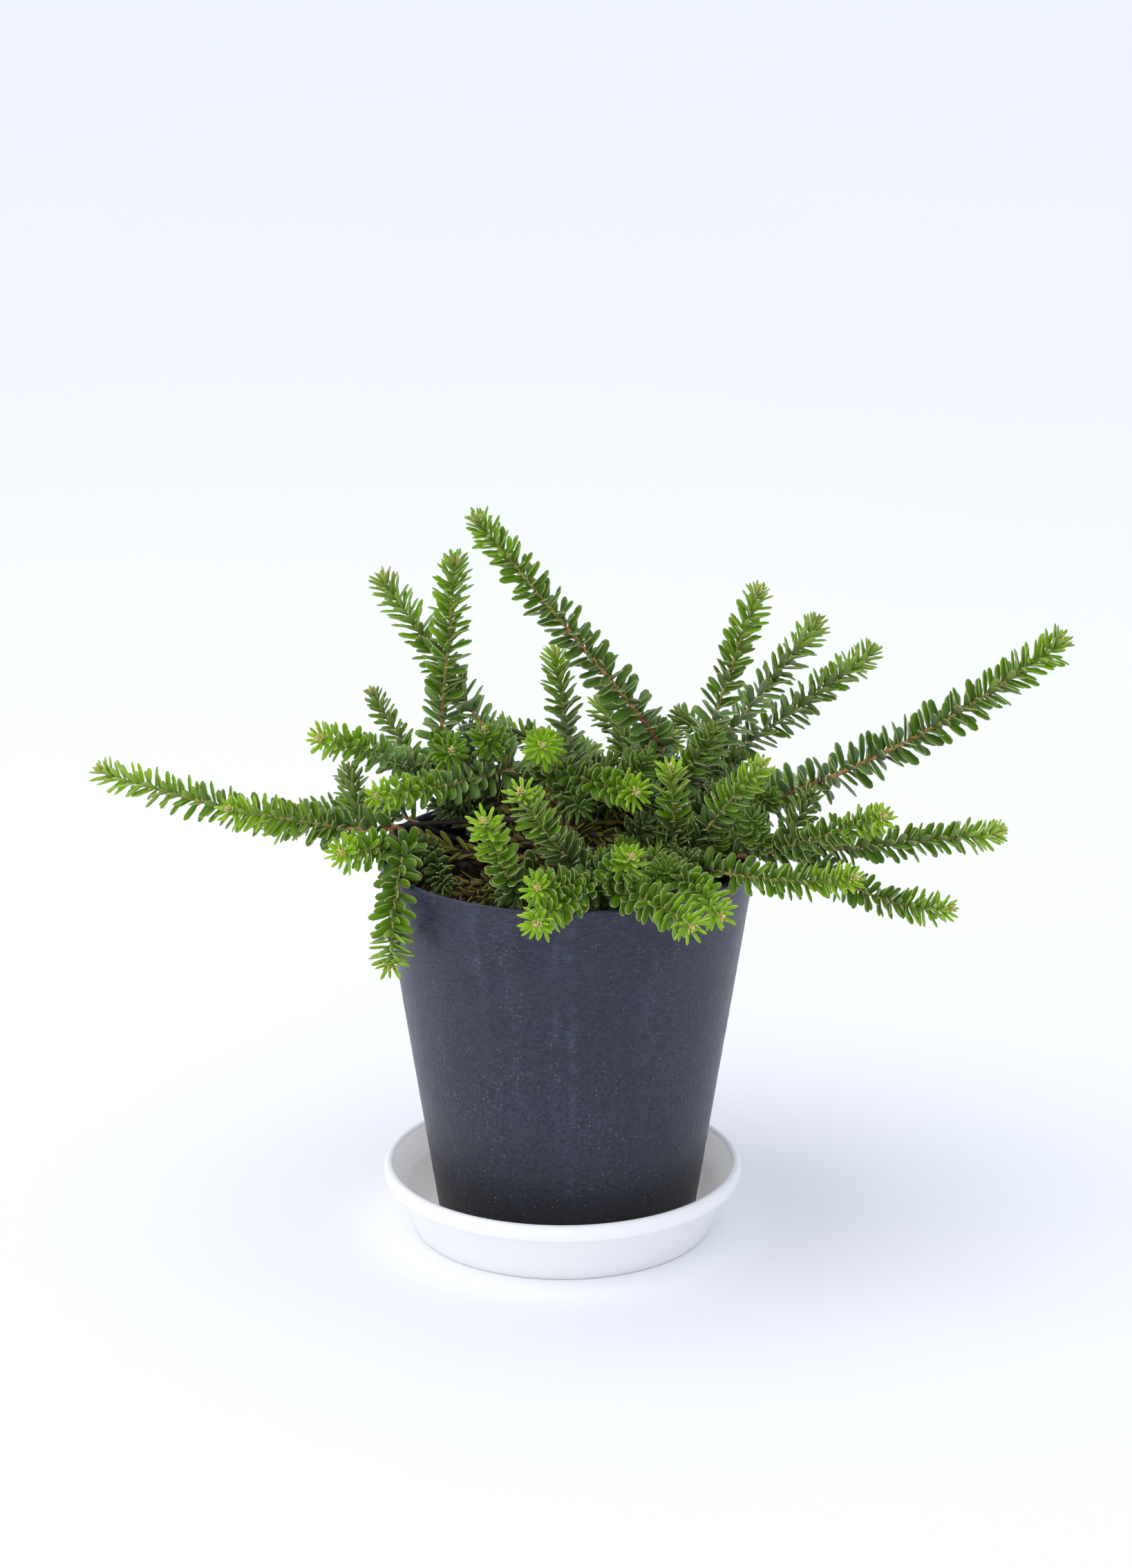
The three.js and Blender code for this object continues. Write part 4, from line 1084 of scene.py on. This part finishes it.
# the spiral of leaves on a shoot
def shootLeaves(grown):
    path = grown["path"]
    run = lengthsAlong(path)
    length = run[-1]
    fromTip = leafPlaces(length * (1 - leafRule["bareBase"]), grown["gap"])
    count = len(fromTip)
    age = {name: np.interp(fromTip, leafAge["fromTip"], values) for name, values in leafAge.items()}
    turn = spiral(count)
    spread = age["spread"] + leafDraw.normal(0, leafRule["spreadJitter"], count)
    spread += grown["opened"] * np.interp(fromTip, tipTurn["openAt"], tipTurn["openShare"])
    # old leaves at the foot of a limb have dried and lie along it
    dryRun = inner["dryShare"] * grown["stem"]
    foot = np.clip((fromTip - length + dryRun) / (inner["dryFade"] * dryRun + 1), 0, inner["dryMost"])
    isDry = leafDraw.uniform(0, 1, count) < foot * (1.0 if grown["low"] else inner["highShare"])
    # some limbs have lost most of their leaves inside the rim
    lost, lostReach = bare.get(grown["name"], (0.0, 0.0)) if grown["stem"] > 0 else (0.0, 0.0)
    isInside = np.interp(length - fromTip, run, np.hypot(path[:, 0], path[:, 1])) < lostReach
    keep = ~isInside | (leafDraw.uniform(0, 1, count) > lost)
    isDry |= isInside
    spread = np.where(isDry, leafDraw.uniform(*inner["spread"], count), spread)
    twist = leafDraw.normal(0, leafRule["twistJitter"], count)
    frames = leafFrames(path, fromTip, turn, spread, leafRule["lift"], twist, age["facing"])
    size = 1 + leafDraw.uniform(-1, 1, count) * leafRule["sizeJitter"]
    broad = 1 + leafDraw.uniform(-1, 1, count) * leafRule["sizeJitter"]
    # tint by distance from the tip, then by place: paler as painted light, darker low inside as painted
    # shade, olive where dried
    zones = np.array([a + b * length for a, b in tintEnds]) * grown["young"]
    tint = np.searchsorted(zones, fromTip * leafDraw.uniform(*leafRule["tintJitter"], count))
    tint = np.maximum(tint, grown["lacks"])
    isOld = (tint == tintNumber["green"]) | (tint == tintNumber["deep"])
    out = np.hypot(frames[0][:, 0], frames[0][:, 1])
    over = frames[0][:, 2] - pot["rimHeight"]
    isPaintedLit = isOld & (over < airy["rise"]) & (grown["name"] in airy["masses"])
    isPaintedShade = isOld & (out < shaded["reach"]) & (over < shaded["rise"])
    for isPlaced, name in ((isPaintedLit, "paintedLit"), (isPaintedShade, "shade"), (isDry, "olive")):
        tint = np.where(isPlaced, tintNumber[name], tint)
    size = size * grown["long"] * np.where(isDry, inner["shrink"][0], 1)
    broad = broad * (1 + (grown["broad"] - 1) * np.interp(fromTip, leafRule["slimRun"], (0, 1)))
    broad = broad * np.where(isDry, inner["shrink"][1], 1)
    rows = rowOf(*frames, age["length"] * size, age["width"] * broad, age["thick"], age["curl"], tint)
    return {name: values[keep] for name, values in rows.items()}


# the bud: a few small scales at the very tip
def budScales(grown):
    count = bud["scales"]
    fromTip = np.linspace(0, bud["run"], count)
    spread = np.linspace(*bud["spread"], count)
    frames = leafFrames(grown["path"], fromTip, spiral(count), spread, 0.0, np.zeros(count))
    length = leafDraw.uniform(*bud["length"], count)
    width = leafDraw.uniform(*bud["width"], count)
    tint = np.full(count, tintNumber["bud"])
    return rowOf(*frames, length, width, bud["thick"] * width, np.full(count, bud["curl"]), tint)


# dried leaves along a path, set off from it where the radius of its wood is given
def driedLeaves(path, gap, reach, spread, lift, radiusAt=None):
    length = lengthsAlong(path)[-1]
    fromTip = np.arange(0, reach * length, gap)
    count = len(fromTip)
    turn = spiral(count)
    spread = leafDraw.uniform(*spread, count)
    offset = radiusAt(1 - fromTip / length) - inner["trunkSunk"] if radiusAt else 0.0
    twist = leafDraw.normal(0, inner["twist"], count)
    frames = leafFrames(path, fromTip, turn, spread, lift, twist, 0.0, offset)
    size = leafDraw.uniform(*inner["length"], count)
    width = leafDraw.uniform(*inner["width"], count)
    isOlive = leafDraw.uniform(0, 1, count) < inner["oliveShare"]
    tint = np.where(isOlive, tintNumber["olive"], tintNumber["straw"])
    return rowOf(*frames, size, width, inner["thick"] * width, leafDraw.uniform(*inner["curl"], count), tint)


# dried leaves on a bough, wider apart where most are lost
def boughLeaves(bough):
    lost = bare.get(bough["name"], (0.0, 0.0))[0]
    gap = inner["spacing"] / (1 - lost)
    return driedLeaves(bough["path"], gap, inner["reach"], inner["spread"], inner["droop"])


# dried leaves round the trunk, with their roots just under its bark
def trunkLeaves():
    gap, reach, spread = (inner[name] for name in ("trunkSpacing", "trunkReach", "trunkSpread"))
    return driedLeaves(evenPath(trunkPath), gap, reach, spread, 0.0, trunkRadius)


# leaves that would stand in the pot's wall or in the soil are left out
def clearOfPot(rows):
    keep = np.ones(len(rows["root"]), bool)
    room = clearance["wall"]
    for share in clearance["shares"]:
        point = rows["root"] + rows["along"] * (rows["length"] * share)[:, None]
        x, y, z = (point + rows["face"] * (rows["curl"] * rows["length"] * share**2)[:, None]).T
        out, wall = np.hypot(x, y), potRadius(z)
        isOutside = (out > wall + room) | (z > pot["rimHeight"] + room)
        isWithin = (out < wall - pot["wall"] - room) & (z > soilTop(x, y) + clearance["soil"])
        keep &= isOutside | isWithin
    return {name: values[keep] for name, values in rows.items()}


# points of many leaves at once: root + along * length * u + across * half width * outline
# + face * (thickness * lift + curl * length * u squared)
def leafShapes(rows):
    count = len(rows["root"])
    stations, sides = len(leafForm["stations"]), len(leafForm["across"])
    acrossWay = np.cross(rows["face"], rows["along"])
    length, width, thick, curl = (rows[name][:, None, None] for name in ("length", "width", "thick", "curl"))
    u = leafForm["stations"][None, :, None]
    half = width / 2 * (leafForm["outline"][:, None] * leafForm["across"])
    rise = thick * (leafForm["body"][:, None] * leafForm["lift"]) + curl * length * u**2
    run = np.broadcast_to(length * u, half.shape)
    rings = (
        rows["root"][:, None, None]
        + rows["along"][:, None, None] * run[..., None]
        + acrossWay[:, None, None] * half[..., None]
        + rows["face"][:, None, None] * rise[..., None]
    ).reshape(count, -1, 3)
    tip = rows["root"] + rows["along"] * rows["length"][:, None]
    tip = tip + rows["face"] * (rows["curl"] * rows["length"])[:, None]
    points = np.concatenate([rings, rows["root"][:, None], tip[:, None]], 1)
    oneLeaf = ringQuads(stations, sides)[:, ::-1], endFans(stations, sides)[:, ::-1]
    quads, triangles = repeatFaces(count, points.shape[1], *oneLeaf)
    quadFinish = np.tile(leafForm["sideFinish"], (stations - 1) * count)
    endFinish = np.tile(np.repeat(leafForm["endFinish"], sides), count)
    return points.reshape(-1, 3), quads, triangles, quadFinish, endFinish


# the four finishes of one tint
def leafFinishes(name, blade, margin, under, roughness):
    looks = dict(
        Blade=dict(leafLooks["blade"], color=linear(*blade), roughness=roughness),
        Margin=dict(leafLooks["margin"], color=linear(*margin)),
        Under=dict(matt, color=linear(*under)),
        Point=dict(matt, color=linear(*leafPoint)),
    )
    return [mottledFinish(f"{name}{kind}", look) for kind, look in looks.items()]


# all leaves as one table, cut into a piece for each tint
def makeLeaves():
    rows = [shootLeaves(grown) for grown in shoots + fillers]
    rows += [budScales(grown) for grown in shoots if grown["lacks"] < bud["plain"]]
    rows += [boughLeaves(bough) for bough in boughs + dried] + [trunkLeaves()]
    whole = clearOfPot({name: np.concatenate([row[name] for row in rows]) for name in rows[0]})
    most = leafRule["pieceLeaves"]
    for name, number in tintNumber.items():
        mine = np.flatnonzero(whole["tint"] == number)
        finishes = leafFinishes(name, *tints[name])
        title = "budScales" if name == "bud" else f"leaves{name.capitalize()}"
        for part in range(0, len(mine), most):
            chosen = {key: values[mine[part:part + most]] for key, values in whole.items()}
            points, quads, triangles, quadFinish, endFinish = leafShapes(chosen)
            piece = putMesh(f"{title}{part // most + 1}", (points + potAxis) * mm, quads, triangles, finishes,
                            quadFinish, endFinish)
            settle(piece, foliageNodes)
        print(title, len(mine), "leaves")


makeLeaves()
print("leaves made")
